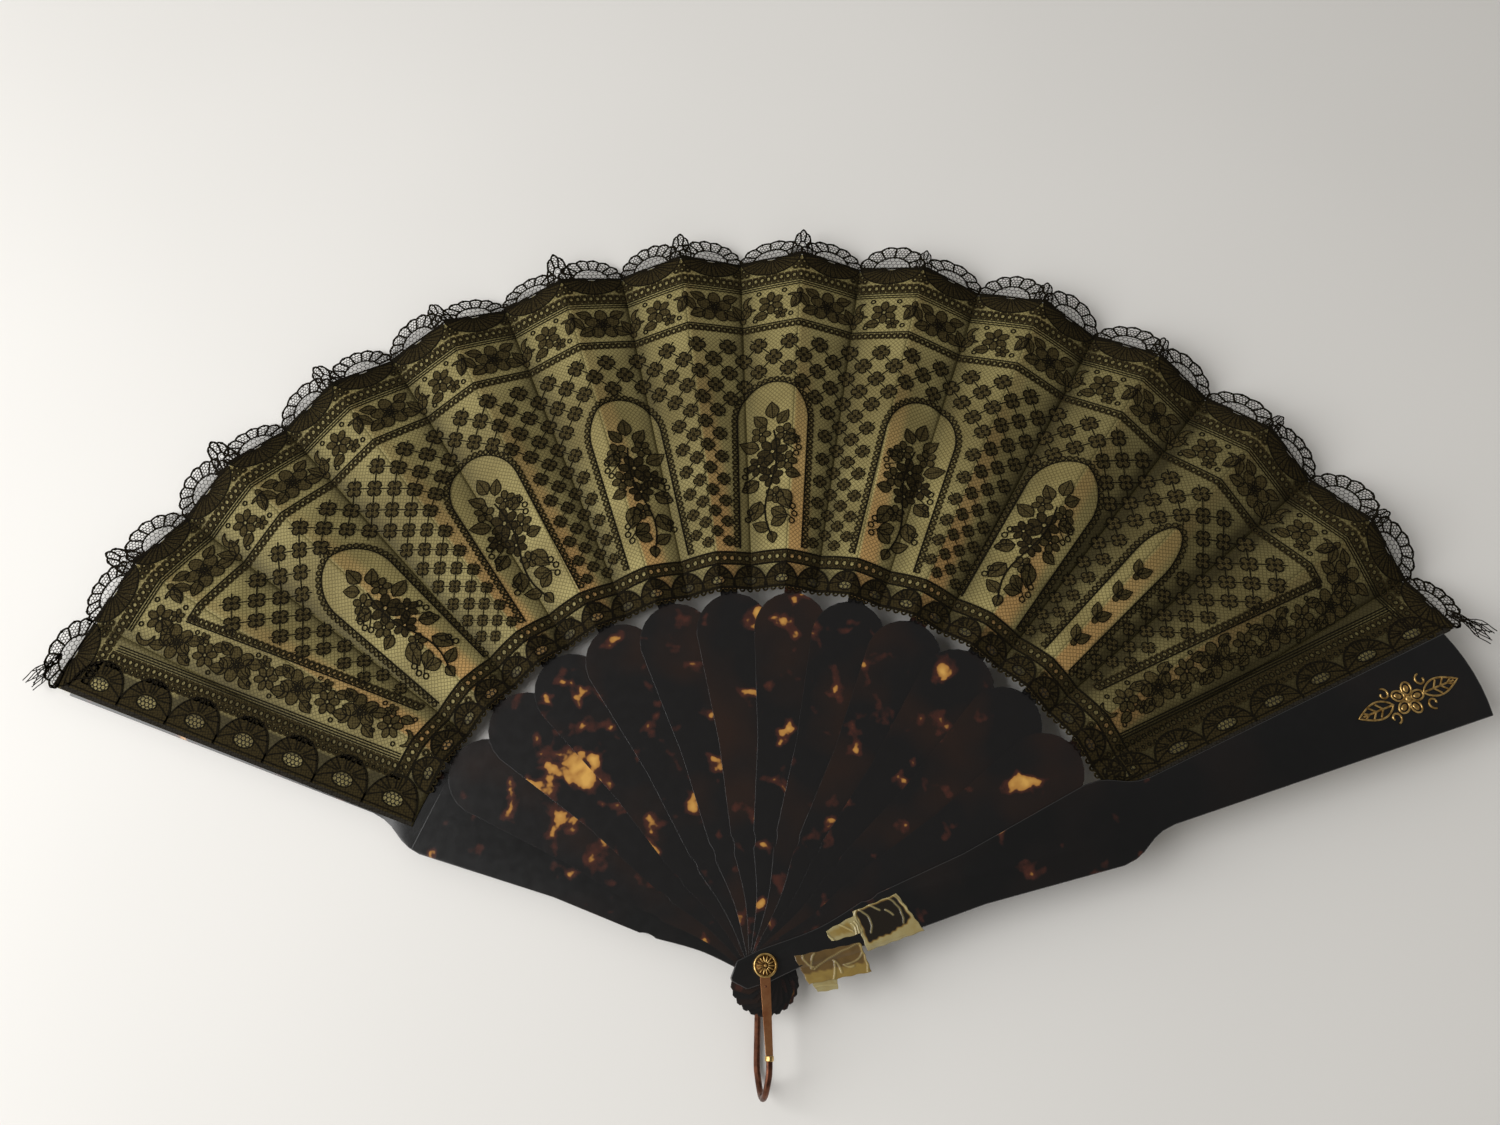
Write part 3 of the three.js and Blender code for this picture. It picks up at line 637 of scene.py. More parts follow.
@dataclass
class LeafPlan:
    """Fold lines and panels of the leaf, read from the CAD silk."""

    nodes: dict[str, Object]
    stick_count: int = 12
    panel_steps: int = 6
    fold_apart: float = 0.3
    ripple: float = 0.3
    ripple_long: float = 52.0
    ripple_short: float = 21.0
    rib_cover: float = 0.62
    flat_keep: float = 0.02
    furl_from: float = 1.5
    furl_step: float = 0.5
    furl_keep: float = 0.01
    inner: float = 0.0
    outer: float = 0.0
    panels: list[Panel] = field(default_factory=list)

    def __post_init__(self) -> None:
        """Reads the folds and lays out the panels."""
        reach = np.hypot(*self.points("silk_pleat_01")[:, :2].T)
        self.inner, self.outer = float(reach.min()), float(reach.max())
        rear, front = self.folds_of("silk_end_rear"), self.folds_of("silk_end_front")
        before, crest = rear[1], front[1]
        self.panels = [Panel("rear_end", rear[0], before, before, "rear_guard", Closing.RIGID, "end_rear")]
        for index in range(1, self.stick_count + 1):
            body, pleat = f"stick_{index:02d}", f"pleat_{index:02d}"
            _, mountain, valley = self.folds_of(f"silk_{pleat}")
            self.panels += [
                Panel(f"{index:02d}_left", before, mountain, mountain, body, Closing.FURLED),
                Panel(f"{index:02d}_right", mountain, valley, mountain, body, Closing.FLAT, pleat)]
            before = valley
        self.panels += [
            Panel("front_slope", before, crest, crest, "front_guard", Closing.FURLED),
            Panel("front_end", crest, front[2], crest, "front_guard", Closing.RIGID, "end_front")]

    def points(self, node: str) -> ndarray:
        """Corners of a CAD node, in millimetres."""
        return np.array([v.co for v in self.nodes[node].data.vertices]) / MM

    def folds_of(self, node: str) -> list[Fold]:
        """Fold lines of one CAD piece of silk, from left to right.

        Args:
            node: Name of the CAD node.

        Returns:
            Its fold lines, with the height of the silk's top.
        """
        points = self.points(node)
        reach = np.hypot(points[:, 0], points[:, 1])
        angle = angle_of(points)
        split = (reach.min() + reach.max()) / 2
        rows: list[list[tuple[float, float, float]]] = []
        for near in (True, False):
            chosen = np.flatnonzero((reach < split) == near)
            order = chosen[np.argsort(-angle[chosen])]
            gaps = np.flatnonzero(np.diff(-angle[order]) > self.fold_apart)
            groups = np.split(order, gaps + 1)
            rows.append([(angle[g].mean(), reach[g].mean(), points[g, 2].max()) for g in groups])
        folds = []
        for place in range(0, len(rows[0]), self.panel_steps):
            (_, near_r, near_z), (at, far_r, far_z) = rows[0][place], rows[1][place]
            rise = (far_z - near_z) / (far_r - near_r)
            inner_z, outer_z = (near_z + rise * (reach - near_r) for reach in (self.inner, self.outer))
            folds.append(Fold(at, inner_z, outer_z))
        return folds

    def height(self, panel: Panel, angle: ndarray, reach: ndarray) -> ndarray:
        """Height of the silk's top on a panel, with the slight ripple of old cloth.

        Args:
            panel: Panel that the points are on.
            angle: Plan angles in degrees.
            reach: Distances from the rivet.

        Returns:
            Heights in millimetres.
        """
        share = (panel.left.angle - angle) / (panel.left.angle - panel.right.angle)
        flat = (1 - share) * panel.left.height(reach, self) + share * panel.right.height(reach, self)
        if panel.closing is Closing.RIGID:
            return flat
        wave = np.sin(2 * np.pi * reach / self.ripple_long)
        wave = wave + 0.5 * np.sin(2 * np.pi * reach / self.ripple_short)
        return flat + self.ripple * wave * np.sin(np.pi * np.clip(share, 0, 1))

    def settle(self, piece: Object, panel: Panel, slot: Slot) -> None:
        """Sets a piece on its panel's body, and gives each piece that folds a mesh of its own.

        Args:
            piece: Finished silk or lace.
            panel: Panel that it lies on.
            slot: Material slot of the record, which its CAD node is named after.
        """
        ready(piece, panel.body, [f"{slot.value}_{panel.stands_for}"] if panel.stands_for else ())
        middle = (self.inner + self.outer) / 2
        crest = panel.crest.point(middle, self)
        if panel.closing is Closing.FLAT:
            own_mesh(piece)
        elif panel.closing is Closing.FURLED:
            along = panel.crest.point(self.outer, self) - panel.crest.point(self.inner, self)
            along.normalize()
            across = panel.left.point(middle, self) - crest
            across = (across - along * across.dot(along)).normalized()
            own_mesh(piece)


@dataclass
class SilkLeaf:
    """The silk ground of the leaf, one sheet for every panel."""

    plan: LeafPlan
    finish: Material
    back: Material
    lace_and_shade: Callable[[float, float], float]
    steps_across: int = 14
    steps_out: int = 72
    tuck: float = 9.0
    thick: float = 0.2

    def build(self) -> dict[str, Object]:
        """Builds every panel and returns them by their names."""
        return {panel.name: self.panel(panel) for panel in self.plan.panels}

    def reach(self, panel: Panel) -> float:
        """Distance of a panel's free edge from the rivet; the last panel is tucked under its guard."""
        return self.plan.outer - (self.tuck if panel.name == "front_end" else 0)

    def panel(self, panel: Panel) -> Object:
        """Builds one panel as a grid with its own map, in metres across the pleat and out from the rivet.

        Args:
            panel: Its place in the plan.

        Returns:
            The sheet.
        """
        share, reach = np.meshgrid(np.linspace(0, 1, self.steps_across + 1),
                                   np.linspace(self.plan.inner, self.reach(panel), self.steps_out + 1))
        angle = panel.left.angle + (panel.right.angle - panel.left.angle) * share
        points = np.dstack([polar(angle, reach), self.plan.height(panel, angle, reach)]).reshape(-1, 3)
        mesh = mesh_of(f"silk_{panel.name}", points, grid_faces(*reach.shape))
        across = np.radians(panel.crest.angle - angle) * reach
        corners = np.array([loop.vertex_index for loop in mesh.loops])
        pairs = np.stack([across.ravel(), reach.ravel()], axis=1)[corners] * MM
        mesh.uv_layers.new(name="leaf").data.foreach_set("uv", pairs.astype(np.float32).ravel())
        # Stores how close the lace lies at each point, with painted shade along valley folds and on the
        # right-hand side.
        mark(mesh, "lace_and_shade", [self.lace_and_shade(a, r) for a, r in zip(angle.ravel(), reach.ravel())])
        mesh.shade_smooth()
        obj = new_object(f"silk_{panel.name}", mesh, self.finish, self.back)
        thicken(obj, self.thick, -1).material_offset = 1
        return obj

    def declare(self, piece: Object, panel: Panel) -> None:
        """Sets a panel on its stick.

        Args:
            piece: Silk panel.
            panel: Its place in the plan.
        """
        self.plan.settle(piece, panel, Slot.SILK)
        inner, outer = self.plan.inner, self.reach(panel)
        wide = [(panel.left.point(r, self.plan) - panel.right.point(r, self.plan)).length
                for r in (inner, outer)]


class Layer(Enum):
    """Layers of the lacework, with their lift above the silk in millimetres."""

    NET = 0.06
    SHEER = 0.14
    CLOTH = 0.17
    CORD = 0.28


@dataclass
class Drawing:
    """Flat lacework in millimetres, as triangles that face up."""

    triangles: list[ndarray] = field(default_factory=list)

    def soup(self) -> ndarray:
        """All triangles, as rows of three plan points."""
        return np.concatenate(self.triangles) if self.triangles else np.zeros((0, 3, 2))

    def patch(self, outline: Iterable[Sequence[float]]) -> None:
        """Fills a star-shaped outline about its middle.

        Args:
            outline: Plan points.
        """
        points = np.asarray(list(outline), float)
        following = np.roll(points, -1, axis=0)
        if np.sum(points[:, 0] * following[:, 1] - points[:, 1] * following[:, 0]) < 0:
            points, following = following[::-1], points[::-1]
        middle = np.broadcast_to(points.mean(axis=0), points.shape)
        self.triangles.append(np.stack([middle, points, following], axis=1))

    def ribbon(self, path: Iterable[Sequence[float]], width: float, closed: bool = False) -> None:
        """Lays a ribbon along a path.

        Args:
            path: Plan points.
            width: Ribbon's width.
            closed: Whether the last point joins the first.
        """
        points = np.asarray(list(path), float)
        if closed:
            points = np.concatenate([points, points[:1]])
        ahead = np.gradient(points, axis=0)
        if closed:
            ahead[0] = ahead[-1] = points[1] - points[-2]
        ahead /= np.maximum(np.linalg.norm(ahead, axis=1, keepdims=True), 1e-9)
        aside = np.stack([-ahead[:, 1], ahead[:, 0]], axis=1) * width / 2
        left, right = points + aside, points - aside
        self.triangles.append(np.stack([right[:-1], right[1:], left[1:]], axis=1))
        self.triangles.append(np.stack([right[:-1], left[1:], left[:-1]], axis=1))

    def frame(self, outer: ndarray, inner: ndarray) -> None:
        """Fills between two closed outlines with matching points, both counter-clockwise."""
        outer_next, inner_next = np.roll(outer, -1, axis=0), np.roll(inner, -1, axis=0)
        self.triangles.append(np.stack([inner, outer, outer_next], axis=1))
        self.triangles.append(np.stack([inner, outer_next, inner_next], axis=1))

    def ring(self, x: float, y: float, radius: float, width: float, sides: int = 10) -> None:
        """Lays a closed round ribbon."""
        self.ribbon(oval(x, y, radius, radius, sides), width, closed=True)


def oval(x: float, y: float, wide: float, high: float, sides: int = 10, turn: float = 0.0) -> ndarray:
    """Points of an ellipse about a centre, counter-clockwise, with its half axes turned by degrees."""
    step = np.arange(sides) * 2 * np.pi / sides
    return turned(np.stack([wide * np.cos(step), high * np.sin(step)], axis=1), turn) + (x, y)


def turned(points: ndarray, degrees: float) -> ndarray:
    """Turns plan points about the origin."""
    c, s = math.cos(math.radians(degrees)), math.sin(math.radians(degrees))
    return np.asarray(points, float) @ np.array([[c, s], [-s, c]])


@dataclass
class Motif:
    """A small piece of lacework round its own origin, with +Y pointing away from the rivet."""

    cloth: Drawing = field(default_factory=Drawing)
    sheer: Drawing = field(default_factory=Drawing)
    cord: Drawing = field(default_factory=Drawing)
    net: Drawing = field(default_factory=Drawing)
    cord_width: float = 0.42
    is_sheer: bool = False

    def fill(self, outline: Iterable[Sequence[float]]) -> None:
        """Fills an outline with close cloth, or with sheer cloth where the motif is sheer."""
        (self.sheer if self.is_sheer else self.cloth).patch(outline)

    def line(self, path: Iterable[Sequence[float]], width: float = 0.0, closed: bool = False) -> None:
        """Lays a cord along a path, of the motif's own width where none is given."""
        self.cord.ribbon(path, width or self.cord_width, closed)

    def petal(self, x: float, y: float, wide: float, high: float, turn: float = 0.0, sides: int = 9) -> None:
        """Adds an oval of cloth with a cord round it."""
        shape = oval(x, y, wide, high, sides, turn)
        self.fill(shape)
        self.line(shape, closed=True)

    def flower(self, x: float, y: float, radius: float, petals: int, start: float = 90.0,
               sides: int = 9) -> None:
        """Adds a flower of round petals about a small ringed heart.

        Args:
            x: Middle across.
            y: Middle outwards.
            radius: Flower's radius.
            petals: Number of petals.
            start: Direction of the first in degrees.
            sides: Points round a petal.
        """
        spread = radius * 0.58
        wide = min(radius * 0.42, spread * math.sin(math.pi / petals))
        for index in range(petals):
            turn = start + 360 * index / petals
            px, py = polar(turn, spread)
            self.petal(x + px, y + py, radius * 0.42, wide, turn, sides)
        self.cord.ring(x, y, radius * 0.16, self.cord_width, 6)

    def leaf(self, x: float, y: float, length: float, half: float, turn: float) -> None:
        """Adds a pointed leaf with a vein.

        Args:
            x: Stalk's end across.
            y: Stalk's end outwards.
            length: Leaf's length.
            half: Half its width.
            turn: Direction in degrees.
        """
        along = np.linspace(0, 1, 7)
        side = half * np.sin(np.pi * along ** 0.8)
        upper = np.stack([along * length, side], axis=1)
        lower = np.stack([along * length, -side], axis=1)[::-1][1:-1]
        shape = turned(np.concatenate([upper, lower]), turn) + (x, y)
        self.fill(shape)
        self.line(shape, closed=True)
        vein = np.stack([along * length * 0.85, along * 0], axis=1)
        self.line(turned(vein, turn) + (x, y), self.cord_width * 0.8)

    def scroll(self, x: float, y: float, radius: float, start: float, sweep: float) -> None:
        """Adds a C-shaped scroll of cloth that tapers to its ends.

        Args:
            x: Middle across.
            y: Middle outwards.
            radius: Scroll's radius.
            start: Direction of its first end in degrees.
            sweep: Degrees to its other end.
        """
        along = np.linspace(0, 1, 9)
        turn = start + sweep * along
        half = radius * 0.26 * np.sin(np.pi * along) + 0.15
        outer, inner = polar(turn, radius + half), polar(turn, radius - half)
        for step in range(8):
            self.fill(np.array([inner[step], outer[step], outer[step + 1], inner[step + 1]]) + (x, y))
        self.line(outer + (x, y))
        self.line(inner + (x, y))

    def meshes(self, pitch: float, width: float, low: tuple[float, float], high: tuple[float, float],
               inside: Callable[[float, float], bool]) -> None:
        """Adds hexagonal net where a test allows it.

        Args:
            pitch: Distance between neighbouring meshes.
            width: Thread's width.
            low: Lowest corner of the field.
            high: Highest corner of the field.
            inside: Test of a point.
        """
        side = pitch / math.sqrt(3)
        rows = int((high[1] - low[1]) / (1.5 * side)) + 1
        columns = int((high[0] - low[0]) / pitch) + 1
        for row in range(rows):
            for column in range(columns):
                x = low[0] + (column + 0.5 * (row % 2)) * pitch
                y = low[1] + row * 1.5 * side
                corners = [(x + side * math.sin(math.radians(t)), y + side * math.cos(math.radians(t)))
                           for t in (-60, 0, 60, 120)]
                for a, b in zip(corners[:-1], corners[1:]):
                    if inside(*a) and inside(*b):
                        self.net.ribbon([a, b], width)


def lattice_flower() -> Motif:
    """Four-petalled flower of the lattice, 7.4 mm across, with one outline because there are hundreds.

    Returns:
        The motif.
    """
    motif = Motif()
    turns = np.concatenate([np.array([-45, -26, 0, 26]) + 90 * petal for petal in range(4)])
    outline = polar(turns, 3.7 * np.tile([0.44, 0.93, 1.0, 0.93], 4))
    motif.sheer.patch(outline)
    motif.line(outline, 0.62, closed=True)
    motif.cord.ring(0, 0, 0.6, 0.6, 5)
    return motif


def lattice_thread(length: float) -> Motif:
    """Threads that tie a lattice flower to its neighbours."""
    motif = Motif()
    for turn in (45, 135, 225, 315):
        motif.line([polar(turn, 1.6), polar(turn, length / 2)], 0.46)
    return motif


def eyelet(radius: float, width: float) -> Motif:
    """Round worked hole."""
    motif = Motif()
    motif.cloth.ring(0, 0, radius, width, 9)
    motif.cord.ring(0, 0, radius - 0.3 * width, 0.36, 9)
    return motif


def pierced(pitch: float, band: float, hole: float) -> Motif:
    """One length of a close band with a round hole in it.

    Args:
        pitch: Length along the band.
        band: Band's width.
        hole: Hole's radius.

    Returns:
        The motif, with the band along X.
    """
    motif = Motif()
    inner = oval(0, 0, hole, hole * 1.12, 12)
    stretch = np.minimum(pitch / 2 / np.maximum(np.abs(inner[:, 0]), 1e-6),
                         band / 2 / np.maximum(np.abs(inner[:, 1]), 1e-6))
    motif.cloth.frame(inner * stretch[:, None], inner)
    motif.line(inner, 0.36, closed=True)
    return motif


def shell(half: float, depth: float, stripes: int) -> Motif:
    """Half shell of close cloth that opens downwards, with ribbed cords.

    Args:
        half: Half its width.
        depth: Its depth.
        stripes: Number of ribs.

    Returns:
        The motif.
    """
    motif = Motif(cord_width=0.5)
    for index in range(stripes):
        start, end = 180 + 180 * index / stripes, 180 + 180 * (index + 0.86) / stripes
        turns = np.radians([start, (start + end) / 2, end])
        rim = np.stack([half * np.cos(turns), depth * np.sin(turns)], axis=1)
        root = rim * 0.18
        motif.cloth.patch(np.concatenate([rim, root[::-1]]))
        motif.line([root[0], rim[0]])
    arc = np.radians(np.linspace(180, 360, 15))
    motif.line(np.stack([half * np.cos(arc), depth * np.sin(arc)], axis=1), 0.6)
    return motif


def scallop(half: float, rise: float, bars: int = 7) -> Motif:
    """Scallop of the free edge: a clear crescent of open mesh in a fan of net with bars and picots.

    Args:
        half: Half its width.
        rise: Its rise beyond the leaf.
        bars: Number of bars.

    Returns:
        The motif.
    """
    motif = Motif()
    clear = np.array([0.58, 0.56])
    arc = np.radians(np.linspace(0, 180, 8 * bars + 1))
    lumps = 1 + 0.08 * np.abs(np.sin(arc * bars))
    rim = np.stack([half * np.cos(arc) * lumps, rise * np.sin(arc) * lumps], axis=1)
    motif.line(rim, 0.95)
    motif.line(rim[::2] / lumps[::2, None] * clear, 0.8)
    for index in range(bars + 1):
        turn = math.pi * index / bars
        outer = np.array([half * math.cos(turn), rise * math.sin(turn)])
        motif.line([outer * clear, outer], 0.9)
    for index in range(bars):
        turn = math.pi * (index + 0.5) / bars
        motif.cord.ring(half * math.cos(turn) * 1.07, rise * math.sin(turn) * 1.07, 0.6, 0.42, 6)

    def beyond(x: float, y: float) -> float:
        """How far out a point is, with 1 at the rim."""
        return math.hypot(x / half, y / rise)

    motif.meshes(2.1, 0.22, (-half, 0), (half, rise), lambda x, y: beyond(x, y) < 0.6 and y > 0)
    motif.meshes(1.45, 0.3, (-half, 0), (half, rise), lambda x, y: 0.52 < beyond(x, y) < 1.02 and y > 0)
    for side in (-1, 1):
        motif.cord.ring(side * half, 0.9, 1.0, 0.6, 8)
    return motif


def arched_shell(half: float, depth: float, ribs: int = 12) -> Motif:
    """Arch of ribbed close cloth round a lens of open honeycomb, with its foot along X.

    Args:
        half: Half its width.
        depth: Its height.
        ribs: Number of ribs.

    Returns:
        The motif.
    """
    motif = Motif()
    turn = np.radians(np.linspace(0, 360, 32, endpoint=False))
    arch = np.stack([half * np.cos(turn), np.where(np.sin(turn) > 0, depth * np.sin(turn), 0)], axis=1)
    lens_at, lens_wide, lens_high = 0.36, 0.4, 0.19
    lens = oval(0, depth * lens_at, half * lens_wide, depth * lens_high, 32)
    motif.cloth.frame(arch, lens)
    motif.line(arch[:17], 0.8)
    motif.line(lens[::2], 0.6, closed=True)
    for index in range(1, ribs):
        tip = arch[round(16 * index / ribs)]
        root = lens[round(16 * index / ribs)] * (1.0, 1.12)
        motif.line([root, (root + tip) / 2 * (1.04, 1), tip], 0.6)
    motif.meshes(1.9, 0.42, (-half, 0), (half, depth),
                 lambda x, y: math.hypot(x / (half * lens_wide), (y / depth - lens_at) / lens_high) < 1.05)
    return motif


def wisp(threads: int = 11) -> Motif:
    """Frayed end of the edging: loose threads that run along Y, tied here and there.

    Args:
        threads: Number of threads.

    Returns:
        The motif.
    """
    motif = Motif()
    along = np.linspace(0, 1, 9)
    for index in range(threads):
        lean = 90 + 3.0 * (index - threads / 2)
        length = 12 + 7 * abs(math.sin(1.7 * index))
        wave = 1.3 * math.sin(2.3 * index) * np.sin(2.4 * np.pi * along)
        motif.line(turned(np.stack([along * length, wave], axis=1), lean), 0.42)
    for reach in (2.5, 4.5, 6.5, 9.0, 12.0):
        motif.line([polar(74, reach), polar(88, reach + 0.9), polar(104, reach)], 0.4)
    return motif


def border_rose() -> Motif:
    """Large open flower of the border, with four leaves behind it.

    Returns:
        The motif.
    """
    motif = Motif(is_sheer=True)
    motif.leaf(-4.5, -2.5, 8.0, 2.7, 205)
    motif.leaf(4.5, -2.5, 8.0, 2.7, -25)
    motif.leaf(-4.2, 4.2, 7.5, 2.5, 160)
    motif.leaf(4.2, 4.2, 7.5, 2.5, 20)
    motif.flower(0, 0, 8.4, 5, 90, 10)
    motif.flower(0, 0, 3.6, 5, 54, 8)
    return motif


def border_daisy() -> Motif:
    """Small flower of the border between two scrolls and a few berries.

    Returns:
        The motif.
    """
    motif = Motif(is_sheer=True)
    motif.flower(0, 1.2, 6.2, 6, 90, 8)
    motif.flower(4.6, -5.2, 3.2, 5, 90, 7)
    motif.scroll(-8.6, 2.5, 3.8, 100, 190)
    motif.scroll(9.4, 0.5, 3.8, -80, 190)
    motif.leaf(-1.5, -4.6, 7.0, 2.4, 190)
    for x, y in ((-5.8, 7.4), (6.4, 7.2), (-7.5, -7.4), (9.4, -6.4)):
        motif.cord.ring(x, y, 1.0, 0.6, 8)
    return motif


def border_sprig() -> Motif:
    """Pair of leaves and a bud that fill the border at the folds.

    Returns:
        The motif.
    """
    motif = Motif(is_sheer=True)
    motif.leaf(0, -5.5, 9.5, 2.6, 64)
    motif.leaf(0, -5.5, 9.5, 2.6, 122)
    motif.petal(0, -6.3, 1.6, 1.9)
    return motif


def spray(side: int) -> Motif:
    """Bouquet of an arched panel, 67 mm high: flowers among sheer leaves and hanging berries.

    Args:
        side: 1 or -1 for the hand of its curve.

    Returns:
        The motif, with its foot at the origin.
    """
    height, close_from = 52, 5.1
    motif = Motif()
    rise = np.linspace(0, 1, 13)
    sway = side * 3.4 * np.sin(1.9 * np.pi * rise) * (1 - 0.5 * rise)
    stem = np.stack([sway, height * rise], axis=1)
    motif.line(stem, 0.7)
    motif.is_sheer = True
    for x, y, length, half, turn in (
            (0, 58, 9, 3.1, 86), (-2.5, 55, 8, 2.7, 126), (3, 54, 8.5, 2.8, 48), (-5, 45, 8, 2.9, 158),
            (6, 43, 9.5, 3.2, 18), (-6, 30, 7, 2.6, 190), (6, 27, 9, 3.1, -35), (-4, 22, 11, 3.6, 250),
            (5, 17, 10, 3.4, -70), (0, 13, 8.5, 2.8, 215), (0, 5, 8, 2.7, 150), (1, 3, 8, 2.7, 24),
            (0, 2, 6, 2.2, 262)):
        motif.leaf(side * x, y, length, half, turn if side > 0 else 180 - turn)
    for x, y, radius, petals in (
            (-5.6, 50, 4.8, 5), (5.4, 50.5, 4.6, 5), (-6.4, 35.5, 5.0, 5), (6.2, 34.5, 5.2, 6),
            (-1.0, 19.5, 4.2, 5), (0.4, 29, 5.4, 6), (0, 41, 7.0, 6)):
        motif.is_sheer = radius < close_from
        motif.flower(side * x, y, radius, petals, 90 + 20 * side)
    for x, y in ((-11.4, 46), (-12.0, 42.4), (-10.8, 39.4), (11.6, 33), (12.2, 29.4), (11.0, 26.2),
                 (12.0, 22.8), (9.6, 12), (10.4, 8.4), (-9.4, 13.4), (-10.2, 9.8), (-9.0, 6.4)):
        motif.cord.ring(side * x, y, 1.25, 0.6, 8)
        motif.line([(side * x * 0.55, y + 4.5), (side * x, y + 1.2)], 0.42)
    return motif


@dataclass(frozen=True)
class Spot:
    """Where a motif goes: plan angle in degrees, distance from the rivet, extra turn and size."""

    angle: float
    reach: float
    turn: float = 0.0
    size: float = 1.0


@dataclass
class Scatter:
    """Node tree that sets copies of a shape on points, each with its own turn and size."""

    tree: NodeTree = field(init=False)
    sockets: dict[str, str] = field(default_factory=dict)

    def __post_init__(self) -> None:
        """Builds the tree: copies on raised points, realized, with the finish set."""
        self.tree = tree = bpy.data.node_groups.new("scatter", "GeometryNodeTree")
        for name, kind in (("Points", "Geometry"), ("Shape", "Object"), ("Finish", "Material"),
                           ("Height", "Float"), ("Scale", "Float")):
            socket = tree.interface.new_socket(name, in_out="INPUT", socket_type=f"NodeSocket{kind}")
            self.sockets[name] = socket.identifier
        tree.interface.new_socket("Copies", in_out="OUTPUT", socket_type="NodeSocketGeometry")
        add = partial(add_node, tree)
        given = add("NodeGroupInput").outputs
        turn, own = (add("GeometryNodeInputNamedAttribute", {"Name": name}, data_type="FLOAT")
                     for name in ("turn", "size"))
        about = add("ShaderNodeCombineXYZ", {"Z": turn})
        size = add("ShaderNodeMath", {0: own, 1: given["Scale"]}, operation="MULTIPLY")
        lift = add("ShaderNodeCombineXYZ", {"Z": given["Height"]})
        raised = add("GeometryNodeSetPosition", {"Geometry": given["Points"], "Offset": lift})
        shape = add("GeometryNodeObjectInfo", {"Object": given["Shape"]}).outputs["Geometry"]
        placed = add("GeometryNodeInstanceOnPoints", {
            "Points": raised, "Instance": shape, "Rotation": about, "Scale": size})
        real = add("GeometryNodeRealizeInstances", {"Geometry": placed})
        dressed = add("GeometryNodeSetMaterial", {"Geometry": real, "Material": given["Finish"]})
        add("NodeGroupOutput", {"Copies": dressed})

    def spread(self, shape: Mesh, spots: Sequence[Spot], finish: Material, height: float = 0.0) -> Mesh:
        """Sets a shape on every spot.

        Args:
            shape: What is copied, with +Y pointing away from the rivet.
            spots: Its places.
            finish: Material of the copies.
            height: Height of the places in millimetres.

        Returns:
            All copies as one plain mesh.
        """
        places = polar(np.array([s.angle for s in spots]), np.array([s.reach for s in spots]))
        points = mesh_of("spots", raised(places, 0.0), [])
        mark(points, "turn", [math.radians(s.angle - 90 + s.turn) for s in spots])
        mark(points, "size", [s.size for s in spots])
        copied, carrier = new_object("copied", shape), new_object("carrier", points)
        modifier = carrier.modifiers.new("scatter", "NODES")
        modifier.node_group = self.tree
        for name, value in (("Shape", copied), ("Finish", finish), ("Height", height * MM), ("Scale", 1.0)):
            modifier[self.sockets[name]] = value
        graph = bpy.context.evaluated_depsgraph_get()
        mesh = bpy.data.meshes.new_from_object(carrier.evaluated_get(graph))
        for spent in (carrier, copied):
            bpy.data.objects.remove(spent)
        return mesh


